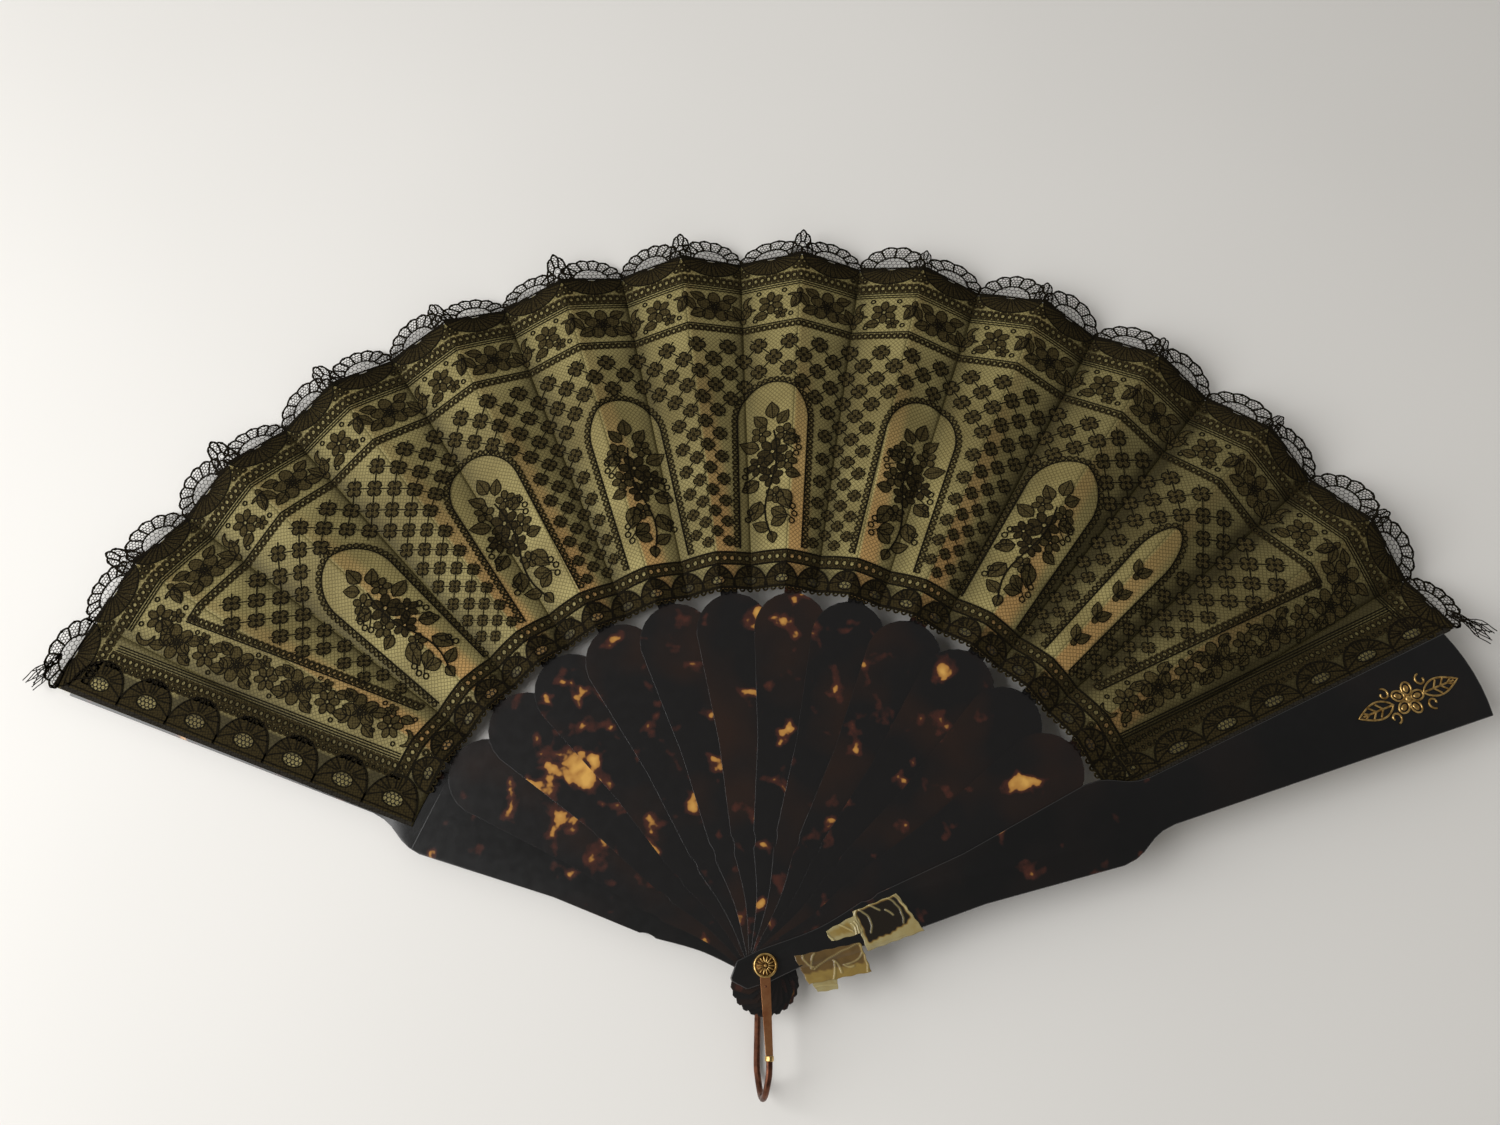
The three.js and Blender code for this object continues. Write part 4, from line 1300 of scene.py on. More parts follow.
@dataclass
class LaceLeaf:
    """Black lace over the whole leaf: borders, lattice, arched panels and a scalloped free edge."""

    plan: LeafPlan
    finishes: dict[Layer, Material]
    arch_count: int = 7
    arch_pitch: float = 16.5
    arch_half: float = 16.2
    arch_taper: float = 0.0028
    last_arch: float = 45.6
    last_half: float = 8.0
    arch_foot: float = 174.0
    arch_spring: float = 238.0
    arch_top: float = 257.0
    arch_margin: float = 4.4
    loop_pitch: float = 2.7
    spray_foot: float = 6.0
    lattice_per_pitch: int = 11
    lattice_from: float = 178.0
    lattice_to: float = 285.0
    lattice_margin: float = 4.0
    lattice_unit: float = 9.6
    lattice_columns: int = 40
    left_border: float = 49.0
    right_border: float = 44.0
    edge_reach: float = 325.5
    edge_shell: float = 9.4
    edge_ribs: int = 14
    edge_holes: float = 314.2
    edge_cords: tuple[float, ...] = (311.4, 310.2, 309.0)
    border_flowers: float = 299.4
    border_sprigs: float = 299.0
    border_cord: float = 289.4
    border_holes: float = 287.2
    inner_holes: float = 169.8
    inner_cords: tuple[tuple[float, float], ...] = ((172.6, 0.8), (167.0, 0.8), (156.2, 1.1))
    inner_pitch: float = 13.6
    scallop_rise: float = 11.5
    gather_half: float = 5.2
    gather_rise: float = 13.6
    gather_bars: int = 5
    calm: float = 0.7
    calm_below: float = 80.0
    shell_band: float = 15.0
    shell_from: float = 168.0
    shell_pitch: float = 23.4
    lens_at: float = 6.8
    lens_half: tuple[float, float] = (5.4, 3.4)
    hole_band: float = 23.0
    hole_half: float = 2.5
    inner_band: float = 166.5
    shell_closeness: float = 0.85
    inner_closeness: float = 0.5
    border_closeness: float = 0.22
    lattice_closeness: float = 0.22
    # Painted shade along the valley folds, which also stands for the net doubled there, and painted shade
    # over the right-hand side of the leaf below an angle, weaker in the arched panels.
    valley_shade_and_net: float = 0.48
    valley_half: float = 5.5
    right_side_shade: float = 0.36
    right_shade_from: float = 72.0
    right_shade_over: float = 20.0
    right_shade_in_panel: float = 0.4
    closest: float = 0.9
    cord: float = 0.5
    arc_step: float = 0.4
    ray_points: int = 24
    thread: float = 0.1
    smallest: float = 1e-4
    seed: int = 7
    scatter: Scatter = field(default_factory=Scatter)
    soups: dict[Layer, list[ndarray]] = field(default_factory=lambda: {layer: [] for layer in Layer})

    def place(self, motif: Motif, spots: Sequence[Spot]) -> None:
        """Sets a motif on spots and keeps its triangles by layer.

        Args:
            motif: What is set.
            spots: Its places.
        """
        for layer, drawing in ((Layer.NET, motif.net), (Layer.SHEER, motif.sheer),
                               (Layer.CLOTH, motif.cloth), (Layer.CORD, motif.cord)):
            flat = drawing.soup().reshape(-1, 2)
            if not len(flat) or not spots:
                continue
            shape = mesh_of("motif", raised(flat, 0.0), np.arange(len(flat)).reshape(-1, 3))
            copies = self.scatter.spread(shape, spots, self.finishes[layer])
            points = np.zeros(len(copies.vertices) * 3, np.float32)
            copies.vertices.foreach_get("co", points)
            index = np.zeros(len(copies.loops), np.int32)
            copies.loops.foreach_get("vertex_index", index)
            triangles = points.reshape(-1, 3)[index.reshape(-1, 3)][:, :, :2] / MM
            self.soups[layer].append(triangles.astype(float))
            bpy.data.meshes.remove(copies)

    def band(self, path: ndarray, width: float, layer: Layer = Layer.CORD) -> None:
        """Lays a band of a layer along a path of plan points."""
        (drawing := Drawing()).ribbon(path, width)
        self.soups[layer].append(drawing.soup())

    def arc(self, reach: float, width: float, left: float, right: float) -> None:
        """Lays a cord along an arc about the rivet, from a left to a right angle."""
        self.band(polar(np.arange(left, right, -self.arc_step), reach), width)

    def ray(self, angle: float, offset: float, width: float, low: float, high: float,
            layer: Layer = Layer.CORD) -> None:
        """Lays a straight band outwards along an angle, set off sideways to the right."""
        line = polar(angle, np.linspace(low, high, self.ray_points))
        self.band(line + polar(angle - 90, offset), width, layer)

    def row(self, motif: Motif, reach: float, pitch: float, left: float, right: float) -> None:
        """Sets a motif along an arc at an even pitch in millimetres."""
        count = round(math.radians(left - right) * reach / pitch)
        self.place(motif, [Spot(left - (left - right) * (i + 0.5) / count, reach) for i in range(count)])

    def column(self, motif: Motif, angle: float, offset: float, low: float, high: float, pitch: float,
               turn: float, size: float = 1.0) -> None:
        """Sets a motif along a line outwards, set off sideways to the right in millimetres."""
        spots = [Spot(angle - math.degrees(math.atan2(offset, r)), math.hypot(r, offset), turn, size)
                 for r in np.arange(low, high, pitch)]
        self.place(motif, spots)

    def arches(self) -> list[tuple[float, float]]:
        """Angles of the arched panels' middles and half their widths; the last is half lost in a pleat."""
        whole = self.arch_count - 1
        wide = [(90 + self.arch_pitch * (whole / 2 - i), self.arch_half) for i in range(whole)]
        return wide + [(self.last_arch, self.last_half)]

    def half_width(self, wide: float, reach: ndarray | float) -> ndarray | float:
        """Half width of an arched panel at a distance from the rivet, up to where its arch springs."""
        return wide * (1 - self.arch_taper * (self.arch_spring - reach))

    def arch(self, wide: float, grow: float, steps: int = 90) -> ndarray:
        """Outline of an arched panel about its middle line.

        Args:
            wide: Half its width where its arch springs.
            grow: Margin outside it.
            steps: Number of points.

        Returns:
            Points from its left foot round to its right foot.
        """
        side = np.linspace(self.arch_foot, self.arch_spring, steps // 3)
        edge = self.half_width(wide, side) + grow
        turn = np.radians(np.linspace(180, 0, steps // 3))
        crown_x = edge[-1] * np.cos(turn)
        crown_y = self.arch_spring + (self.arch_top - self.arch_spring + grow) * np.sin(turn)
        xs = np.concatenate([-edge, crown_x[1:-1], edge[::-1]])
        ys = np.concatenate([side, crown_y[1:-1], side[::-1]])
        return np.stack([xs, ys - self.arch_foot], axis=1)

    def in_arch(self, angle: float, reach: float, margin: float) -> bool:
        """Whether a point lies in an arched panel or within a margin of it.

        Args:
            angle: Plan angle in degrees.
            reach: Distance from the rivet.
            margin: Margin in millimetres.

        Returns:
            True inside.
        """
        middle, wide = min(self.arches(), key=lambda pair: abs(pair[0] - angle))
        across = reach * math.sin(math.radians(middle - angle))
        out = reach * math.cos(math.radians(middle - angle))
        if out <= self.arch_spring:
            return abs(across) < self.half_width(wide, out) + margin
        tall = self.arch_top - self.arch_spring + margin
        return (across / (wide + margin)) ** 2 + ((out - self.arch_spring) / tall) ** 2 < 1

    def from_guards(self, angle: float, reach: float) -> tuple[float, ...]:
        """Distances of a point from the leaf's straight ends, left and right."""
        turns = self.plan.panels[0].left.angle - angle, angle - self.plan.panels[-2].right.angle
        return tuple(reach * math.sin(math.radians(turn)) for turn in turns)

    def in_field(self, angle: float, reach: float) -> bool:
        """Whether a point lies between the straight borders along the guards."""
        left, right = self.from_guards(angle, reach)
        return left > self.left_border and right > self.right_border

    def in_lens(self, near: float, reach: float) -> bool:
        """Whether a point that far from a guard lies in the open lens of one of the shells along it."""
        along = (math.sqrt(reach ** 2 - near ** 2) - self.shell_from) / self.shell_pitch
        long, wide = self.lens_half
        return math.hypot((along - round(along)) * self.shell_pitch / long, (near - self.lens_at) / wide) < 1

    def lace_and_shade(self, angle: float, reach: float) -> float:
        """How close the lace lies over the silk at a place, with painted shade along the valley folds and
        over the right-hand side, which darkens the ground there.

        Args:
            angle: Plan angle in degrees.
            reach: Distance from the rivet.

        Returns:
            Closeness with the painted shade, from 0 to 1.
        """
        # Painted shade along the nearest valley fold, which also stands for the net doubled there.
        valley = min(abs(panel.right.angle - angle) for panel in self.plan.panels[:-2:2])
        fold = self.valley_shade_and_net * math.exp(-(math.radians(valley) * reach / self.valley_half) ** 2)
        # Painted shade that grows towards the right-hand side of the leaf, away from the light.
        right_shade = min(max((self.right_shade_from - angle) / self.right_shade_over, 0), 1) * self.right_side_shade
        close = self.lattice_closeness
        near = min(self.from_guards(angle, reach))
        holes = (self.inner_holes, self.border_holes, self.edge_holes)
        low, high = self.lattice_from - self.lattice_margin, self.lattice_to + self.lattice_margin
        if near < self.shell_band:
            close = self.lattice_closeness if self.in_lens(near, reach) else self.shell_closeness
        elif reach < self.inner_band:
            close = self.inner_closeness
        elif near < self.hole_band or min(abs(reach - row) for row in holes) < self.hole_half:
            close = self.lattice_closeness
        elif not low <= reach <= high or not self.in_field(angle, reach):
            close = self.border_closeness
        elif self.in_arch(angle, reach, 0):
            close = 0.0
            # Less painted shade inside an arched panel.
            right_shade *= self.right_shade_in_panel
        return min(close + fold + right_shade, self.closest)

    def free_edge(self) -> None:
        """Scallops along the free edge, with a ribbed half shell below each and eyelets between."""
        rng = np.random.default_rng(self.seed)
        for panel in self.plan.panels[:-1]:
            middle = (panel.left.angle + panel.right.angle) / 2
            half = math.radians(panel.left.angle - panel.right.angle) / 2 * self.edge_reach - 0.4
            rise = self.scallop_rise * rng.uniform(0.7, 1.08)
            spot = Spot(middle, self.edge_reach, rng.uniform(-6, 6))
            self.place(scallop(half, rise, int(rng.integers(6, 9))), [spot])
            self.place(shell(half, self.edge_shell, self.edge_ribs), [Spot(middle, self.edge_reach + 0.6)])
        left, right = self.plan.panels[0].left.angle - 0.2, self.plan.panels[-2].right.angle
        self.arc(self.edge_reach, 0.9, left, right)
        self.row(pierced(3.15, 4.6, 1.0), self.edge_holes, 3.1, left - 0.8, right)
        folds = [panel.left.angle for panel in self.plan.panels[1:-1]]
        for reach, asides in ((318.9, (-0.5, 0, 0.5)), (321.5, (-0.24, 0.24))):
            self.place(eyelet(1.1, 1.1), [Spot(fold + aside, reach) for fold in folds for aside in asides])

    def flower_border(self) -> None:
        """Band of flowers between cords, inside the free edge."""
        left, right = self.plan.panels[1].left.angle - 0.6, self.plan.panels[-2].right.angle + 1.2
        for reach in self.edge_cords:
            self.arc(reach, self.cord, left, right)
        self.arc(self.border_cord, 0.6, left - 3.2, right + 6.6)
        self.row(pierced(2.75, 3.2, 0.82), self.border_holes, 2.7, left - 3.2, right + 6.6)
        roses, daisies, sprigs = [], [], []
        for panel in self.plan.panels[1:-2]:
            middle = (panel.left.angle + panel.right.angle) / 2
            flowers, turn = (roses, 180) if panel.closing is Closing.FLAT else (daisies, 0)
            flowers.append(Spot(middle, self.border_flowers))
            sprigs.append(Spot(panel.left.angle, self.border_sprigs, turn, 0.92))
        self.place(border_rose(), roses)
        self.place(border_daisy(), daisies)
        self.place(border_sprig(), sprigs[1:])

    def lattice(self) -> None:
        """Lattice of four-petalled flowers, whose rows keep their shape as they widen outwards."""
        step = self.arch_pitch / self.lattice_per_pitch
        growth = math.radians(step)
        spots = []
        for row in range(int(math.log(self.lattice_to / self.lattice_from) / growth) + 1):
            reach = self.lattice_from * math.exp(row * growth)
            for column in range(-self.lattice_columns, self.lattice_columns + 1):
                angle = 90 + column * step
                if (row + column) % 2 or not self.in_field(angle, reach):
                    continue
                if not self.in_arch(angle, reach, self.arch_margin):
                    spots.append(Spot(angle, reach, size=reach * growth * math.sqrt(2) / self.lattice_unit))
        self.place(lattice_flower(), spots)
        self.place(lattice_thread(self.lattice_unit), spots)

    def arched_panels(self) -> None:
        """Plain arched panels, each ringed by a chain of loops and holding a spray."""
        middles = self.arches()
        for wide in (self.arch_half, self.last_half):
            outline = Motif()
            outline.line(self.arch(wide, 0.2), 0.6)
            path = self.arch(wide, 1.7, 240)
            along = np.concatenate([[0], np.cumsum(np.linalg.norm(np.diff(path, axis=0), axis=1))])
            for place in np.arange(1.5, along[-1], self.loop_pitch):
                x, y = (np.interp(place, along, path[:, axis]) for axis in (0, 1))
                outline.sheer.ring(x, y, 0.85, 0.8, 7)
                outline.cord.ring(x, y, 1.15, 0.42, 7)
            self.place(outline, [Spot(at, self.arch_foot) for at, half in middles if half == wide])
        foot = self.arch_foot + self.spray_foot
        self.place(spray(1), [Spot(at, foot) for at, _ in middles[:-1:2]])
        self.place(spray(-1), [Spot(at, foot) for at, _ in middles[1:-1:2]])
        self.place(border_sprig(), [Spot(self.last_arch, foot + up, size=0.85) for up in (10, 24, 38, 52)])

    def inner_border(self) -> None:
        """Dark border along the sticks: eyelets over a row of shells."""
        left, right = self.plan.panels[0].right.angle, self.plan.panels[-2].right.angle + 0.4
        inset = 2.4
        for reach, width in self.inner_cords:
            self.arc(reach, width, left, right)
        self.row(pierced(3.35, 5.4, 1.05), self.inner_holes, 3.3, left, right)
        self.row(arched_shell(7.3, 10.6, 9), 155.8, self.inner_pitch, left, right)
        for reach, radius, width in ((164.6, 1.2, 1.1), (162.4, 0.9, 0.9)):
            self.row(eyelet(radius, width), reach, self.inner_pitch, left - inset, right + inset)
        self.row(eyelet(1.0, 0.8), 155.4, 3.4, left, right)

    def side_borders(self) -> None:
        """Straight borders along both guards: shells with honeycomb, eyelets, cords and flowers."""
        rear, front = self.plan.panels[0].left.angle - 0.1, self.plan.panels[-2].right.angle
        hem, holes, cords, field_side = (156, 323), (170, 311), (172, 309), (174, 286)
        for angle, side, hidden, turn in ((rear, 1, 0.0, -90), (front, -1, 4.6, 90)):
            self.column(arched_shell(11.9, 16.0 - hidden), angle, side * 1.4, self.shell_from, 320,
                        self.shell_pitch, turn)
            self.ray(angle, side * 1.1, 3.0, *hem, Layer.NET)
            self.ray(angle, side * 2.6, 0.6, *hem)
            for band, hole, offset in ((4.4, 0.98, 20.0), (3.0, 0.6, 16.4)):
                self.column(pierced(2.95, band, hole), angle, side * (offset - hidden), *holes, 2.9, 90)
            for offset in (22.8, 23.9, 25.0):
                self.ray(angle, side * (offset - hidden), self.cord, *cords)
            for motif, low, high, size in ((border_rose(), 196, 290, 0.95), (border_daisy(), 181, 280, 0.9)):
                self.column(motif, angle, side * (35.2 - hidden), low, high, 30, 90, size)
            self.ray(angle, side * (44.6 - hidden), 0.6, *field_side)
            self.column(pierced(2.75, 3.2, 0.82), angle, side * (46.6 - hidden), *field_side, 2.7, 90)

    def corners(self) -> None:
        """Loose threads at both worn corners of the free edge, and gathered edging at every crest."""
        first, last = self.plan.panels[0], self.plan.panels[-2]
        self.place(wisp(), [Spot(first.left.angle - 2.4, 330.5, 72),
                            Spot(last.right.angle + 1.0, 329.0, -62)])
        rng = np.random.default_rng(self.seed)
        spots = []
        for at in [panel.left.angle for panel in self.plan.panels if panel.closing is Closing.FLAT]:
            size = rng.uniform(0.85, 1.08) * (1.0 if at > self.calm_below else self.calm)
            spots.append(Spot(at, self.edge_reach, rng.uniform(-14, 14), size))
        self.place(scallop(self.gather_half, self.gather_rise, self.gather_bars), spots)

    def cut(self, soup: ndarray) -> ndarray:
        """Cuts triangles along every fold line, so that each lies on one panel.

        Args:
            soup: Rows of three plan points.

        Returns:
            The cut triangles.
        """
        for angle in [panel.right.angle for panel in self.plan.panels[:-1]]:
            side = soup @ polar(angle + 90, 1.0)
            over = side > 0
            mixed = over.any(axis=1) & ~over.all(axis=1)
            if not mixed.any():
                continue
            rest, part, level, above = soup[~mixed], soup[mixed], side[mixed], over[mixed]
            lone_above = above.sum(axis=1) == 1
            lone = np.argmax(above == lone_above[:, None], axis=1)
            order = (lone[:, None] + np.arange(3)) % 3
            rows = np.arange(len(part))[:, None]
            (a, b, c), height = part[rows, order].swapaxes(0, 1), level[rows, order]
            p = a + (b - a) * (height[:, 0] / (height[:, 0] - height[:, 1]))[:, None]
            q = a + (c - a) * (height[:, 0] / (height[:, 0] - height[:, 2]))[:, None]
            pieces = [np.stack(corners, axis=1) for corners in ((a, p, q), (p, b, c), (p, c, q))]
            soup = np.concatenate([rest, *pieces])
        return soup

    def build(self) -> dict[str, Object]:
        """Draws, cuts and drapes the lace.

        Returns:
            Lace pieces by their panels' names.
        """
        for part in (self.free_edge, self.flower_border, self.lattice, self.arched_panels,
                     self.inner_border, self.side_borders, self.corners):
            part()
        bounds = np.array([panel.right.angle for panel in self.plan.panels[:-1]])
        gathered: dict[str, list[tuple[Layer, ndarray]]] = {p.name: [] for p in self.plan.panels}
        for layer, soups in self.soups.items():
            soup = self.cut(np.concatenate(soups))
            (x1, y1), (x2, y2) = (soup[:, 1] - soup[:, 0]).T, (soup[:, 2] - soup[:, 0]).T
            soup = soup[np.abs(x1 * y2 - y1 * x2) > self.smallest]
            owner = (angle_of(soup.mean(axis=1))[:, None] < bounds).sum(axis=1)
            for index, panel in enumerate(self.plan.panels):
                gathered[panel.name].append((layer, soup[owner == index]))
        return {panel.name: self.drape(panel, gathered[panel.name]) for panel in self.plan.panels}

    def drape(self, panel: Panel, layers: list[tuple[Layer, ndarray]]) -> Object:
        """Lays a panel's flat lace on its silk as one piece.

        Args:
            panel: Panel of the leaf.
            layers: Its triangles by layer.

        Returns:
            The lace piece.
        """
        points, faces, levels, count = [], [], [], 0
        for level, (layer, soup) in enumerate(layers):
            keys, index = np.unique(np.round(soup.reshape(-1, 2), 3), axis=0, return_inverse=True)
            reach = np.hypot(keys[:, 0], keys[:, 1])
            height = self.plan.height(panel, angle_of(keys), reach) + layer.value
            points.append(raised(keys, height))
            corners = index.reshape(-1, 3)
            corners = corners[(np.diff(np.sort(corners, axis=1), axis=1) > 0).all(axis=1)]
            faces.append(corners + count)
            levels.append(np.full(len(corners), level))
            count += len(keys)
        name = f"lace_{panel.name}"
        mesh = bpy.data.meshes.new(name)
        mesh.from_pydata((np.concatenate(points) * MM).tolist(), [], np.concatenate(faces).tolist())
        mesh.polygons.foreach_set("material_index", np.concatenate(levels).astype(np.int32))
        mesh.update()
        obj = new_object(name, mesh, *[self.finishes[layer] for layer, _ in layers])
        thicken(obj, self.thread, 0)
        return obj


@dataclass
class Sticks:
    """Guards and inner sticks: the CAD shapes with polished, softened edges."""

    nodes: dict[str, Object]
    finish: Material
    guard_finish: Material
    stick_round: float = 0.05
    stick_steps: int = 2
    guard_round: float = 0.5
    guard_steps: int = 4

    def build(self) -> None:
        """Builds every guard and stick on its own body."""
        for name in self.nodes:
            if name.endswith("guard"):
                width, steps, finish = self.guard_round, self.guard_steps, self.guard_finish
            elif name.startswith("stick_"):
                width, steps, finish = self.stick_round, self.stick_steps, self.finish
            else:
                continue
            softened_piece(name, "shell", width, steps, finish, name, self.nodes)


def tube(path: ndarray, radius: float, sides: int, closed: bool) -> Shape:
    """Sweeps a round section along a path.

    Args:
        path: Points in millimetres.
        radius: Section's radius.
        sides: Sides of the section.
        closed: Whether the path joins up.

    Returns:
        Points and faces of a closed tube.
    """
    count = len(path)
    ahead = np.roll(path, -1, axis=0) - np.roll(path, 1, axis=0)
    if not closed:
        ahead[0], ahead[-1] = path[1] - path[0], path[-1] - path[-2]
    ahead /= np.linalg.norm(ahead, axis=1, keepdims=True)
    side = np.cross((0.0, 0.0, 1.0), ahead)
    side /= np.linalg.norm(side, axis=1, keepdims=True)
    rise = np.cross(ahead, side)
    turn = np.arange(sides) * 2 * np.pi / sides
    ring = side[:, None] * np.cos(turn)[None, :, None] + rise[:, None] * np.sin(turn)[None, :, None]
    points = (path[:, None] + ring * radius).reshape(-1, 3)
    faces = grid_faces(count, sides, True, closed)
    if not closed:
        faces.append(tuple(range(sides))[::-1])
        faces.append(tuple(range((count - 1) * sides, count * sides)))
    return points, faces


def dome(x: float, y: float, z: float, wide: float, long: float, high: float, turn: float = 0.0,
         sides: int = 12, rings: int = 4) -> Shape:
    """A closed oval dome with a flat underside.

    Args:
        x: Centre.
        y: Centre.
        z: Height of the underside.
        wide: Half axis across.
        long: Half axis along.
        high: Rise of the crown.
        turn: Turn in degrees.
        sides: Points round it.
        rings: Rings up to the crown.

    Returns:
        Points and faces.
    """
    points = []
    for ring in range(rings):
        lift = math.pi / 2 * ring / rings
        flat = oval(x, y, wide * math.cos(lift), long * math.cos(lift), sides, turn)
        points.append(raised(flat, z + high * math.sin(lift)))
    points.append(np.array([[x, y, z + high]]))
    top, last = rings * sides, (rings - 1) * sides
    faces = grid_faces(rings, sides, True)
    faces += [(last + corner, last + (corner + 1) % sides, top) for corner in range(sides)]
    faces.append(tuple(range(sides))[::-1])
    return np.concatenate(points), faces


def joined(name: str, parts: Sequence[Shape]) -> Mesh:
    """Joins several closed shapes into one mesh with faces that point outwards.

    Args:
        name: Mesh's name.
        parts: Points in millimetres and faces of each shape.

    Returns:
        The mesh.
    """
    points, faces, count = [], [], 0
    for part_points, part_faces in parts:
        points.append(part_points)
        faces += [tuple(corner + count for corner in face) for face in part_faces]
        count += len(part_points)
    mesh = mesh_of(name, np.concatenate(points), faces)
    shape = bmesh.new()
    shape.from_mesh(mesh)
    bmesh.ops.recalc_face_normals(shape, faces=shape.faces)
    shape.to_mesh(mesh)
    shape.free()
    return mesh


def solid_piece(name: str, parts: Sequence[Shape], finish: Material, body: str,
                stands_for: Sequence[str] = (), crease: float = 50.0) -> None:
    """Joins closed shapes into one finished piece that keeps the creases sharper than an angle."""
    smooth(mesh := joined(name, parts), crease)
    ready(new_object(name, mesh, finish), body, stands_for)


@dataclass
class Rivet:
    """Rivet: a daisy head of thin raised rays in a bright rim on a plate whose gilding is painted dark as
    the shade of its recess, and plain metal below.
    """

    nodes: dict[str, Object]
    gilt: Material
    recess_shade: Material
    copper: Material
    body: str = "rear_guard"
    radius: float = 4.6
    rim: float = 0.5
    rim_steps: int = 48
    plate_rise: float = 0.55
    rays: int = 14
    ray_size: tuple[float, float, float] = (1.45, 0.3, 0.55)
    ray_ring: float = 2.2
    ray_base: float = 0.4
    heart: float = 0.75
    heart_base: float = 0.5
    heart_rise: float = 0.45
    metal_round: float = 0.25
    metal_steps: int = 2

    def build(self) -> None:
        """Builds the head from the CAD head's place, and softens the pin and foot."""
        low, high = (corner.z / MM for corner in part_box("rivet_rosette"))
        rise = high - low
        inner = self.radius - self.rim
        plate = dome(0, 0, low, inner, inner, rise * self.plate_rise, sides=40, rings=8)
        # The plate's gilding is painted dark all over, as painted shade in the recess inside the rim.
        solid_piece("rivet_head_plate", [plate], self.recess_shade, self.body, ["rivet_rosette"])
        ray = joined("ray", [dome(0, 0, 0, *self.ray_size)])
        spots = [Spot(360 * index / self.rays, self.ray_ring, 90) for index in range(self.rays)]
        rays = Scatter().spread(ray, spots, self.gilt, low + rise * self.ray_base)
        smooth(rays)
        ready(new_object("rivet_head_rays", rays), self.body)
        circle = polar(np.arange(self.rim_steps) * 360 / self.rim_steps, inner)
        path = raised(circle, low + self.rim)
        solid_piece("rivet_head_rim", [tube(path, self.rim, 10, True)], self.gilt, self.body)
        heart = dome(0, 0, low + rise * self.heart_base, self.heart, self.heart, rise * self.heart_rise,
                     sides=18, rings=5)
        solid_piece("rivet_head_heart", [heart], self.gilt, self.body)
        for name in ("rivet_pin", "rivet_foot"):
            softened_piece(name, "metal", self.metal_round, self.metal_steps, self.copper, self.body,
                           self.nodes)


@dataclass
class Bail:
    """Bail: a flat front arm with a drilled spot, a bright ferrule and a brown wire loop under the stack."""

    nodes: dict[str, Object]
    copper: Material
    wire: Material
    gilt: Material
    arm_round: float = 0.45
    wire_round: float = 0.3
    steps: int = 3
    spot_at: tuple[float, float] = (0.3, -7.6)
    spot_radius: float = 0.5
    spot_sunk: float = 0.05
    spot_rise: float = 0.12

    def build(self) -> None:
        """Softens the arm and the ferrule, rounds the wire of the loop and sets the spot on the arm."""
        for name, width, finish, slot in (("bail_front_arm", self.arm_round, self.copper, Slot.COPPER),
                                          ("bail_ferrule", self.wire_round, self.gilt, Slot.GILT),
                                          ("bail_loop", self.wire_round, self.wire, Slot.COPPER)):
            piece = softened_piece(name, "metal", width, self.steps, finish, "bail", self.nodes)
            if name == "bail_loop":
                piece.data.shade_smooth()
        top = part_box("bail_front_arm")[1].z / MM
        spot = dome(*self.spot_at, top - self.spot_sunk, self.spot_radius, self.spot_radius,
                    self.spot_rise, rings=2)
        solid_piece("bail_arm_spot", [spot], self.wire, "bail", crease=35.0)


@dataclass(frozen=True)
class Film:
    """One strip of tape, given along and across the front guard in millimetres.

    Corners run near inside, far inside, far outside, near outside. Creases are start, bend and end, as
    shares along and across the strip. Tones run from 0 for pale free film to 1 for film stuck to dark
    shell. Margins are the widths of free film at the near, far, inside and outside edges, and flare widens
    the last one.
    """

    name: str
    corners: tuple[tuple[float, float], ...]
    creases: tuple[tuple[tuple[float, float], ...], ...]
    tone: float
    edge_tone: float
    margins: tuple[float, float, float, float]
    flare: float = 0.0
    lift: float = 0.0
    droop: float = 0.0
    node: str = ""


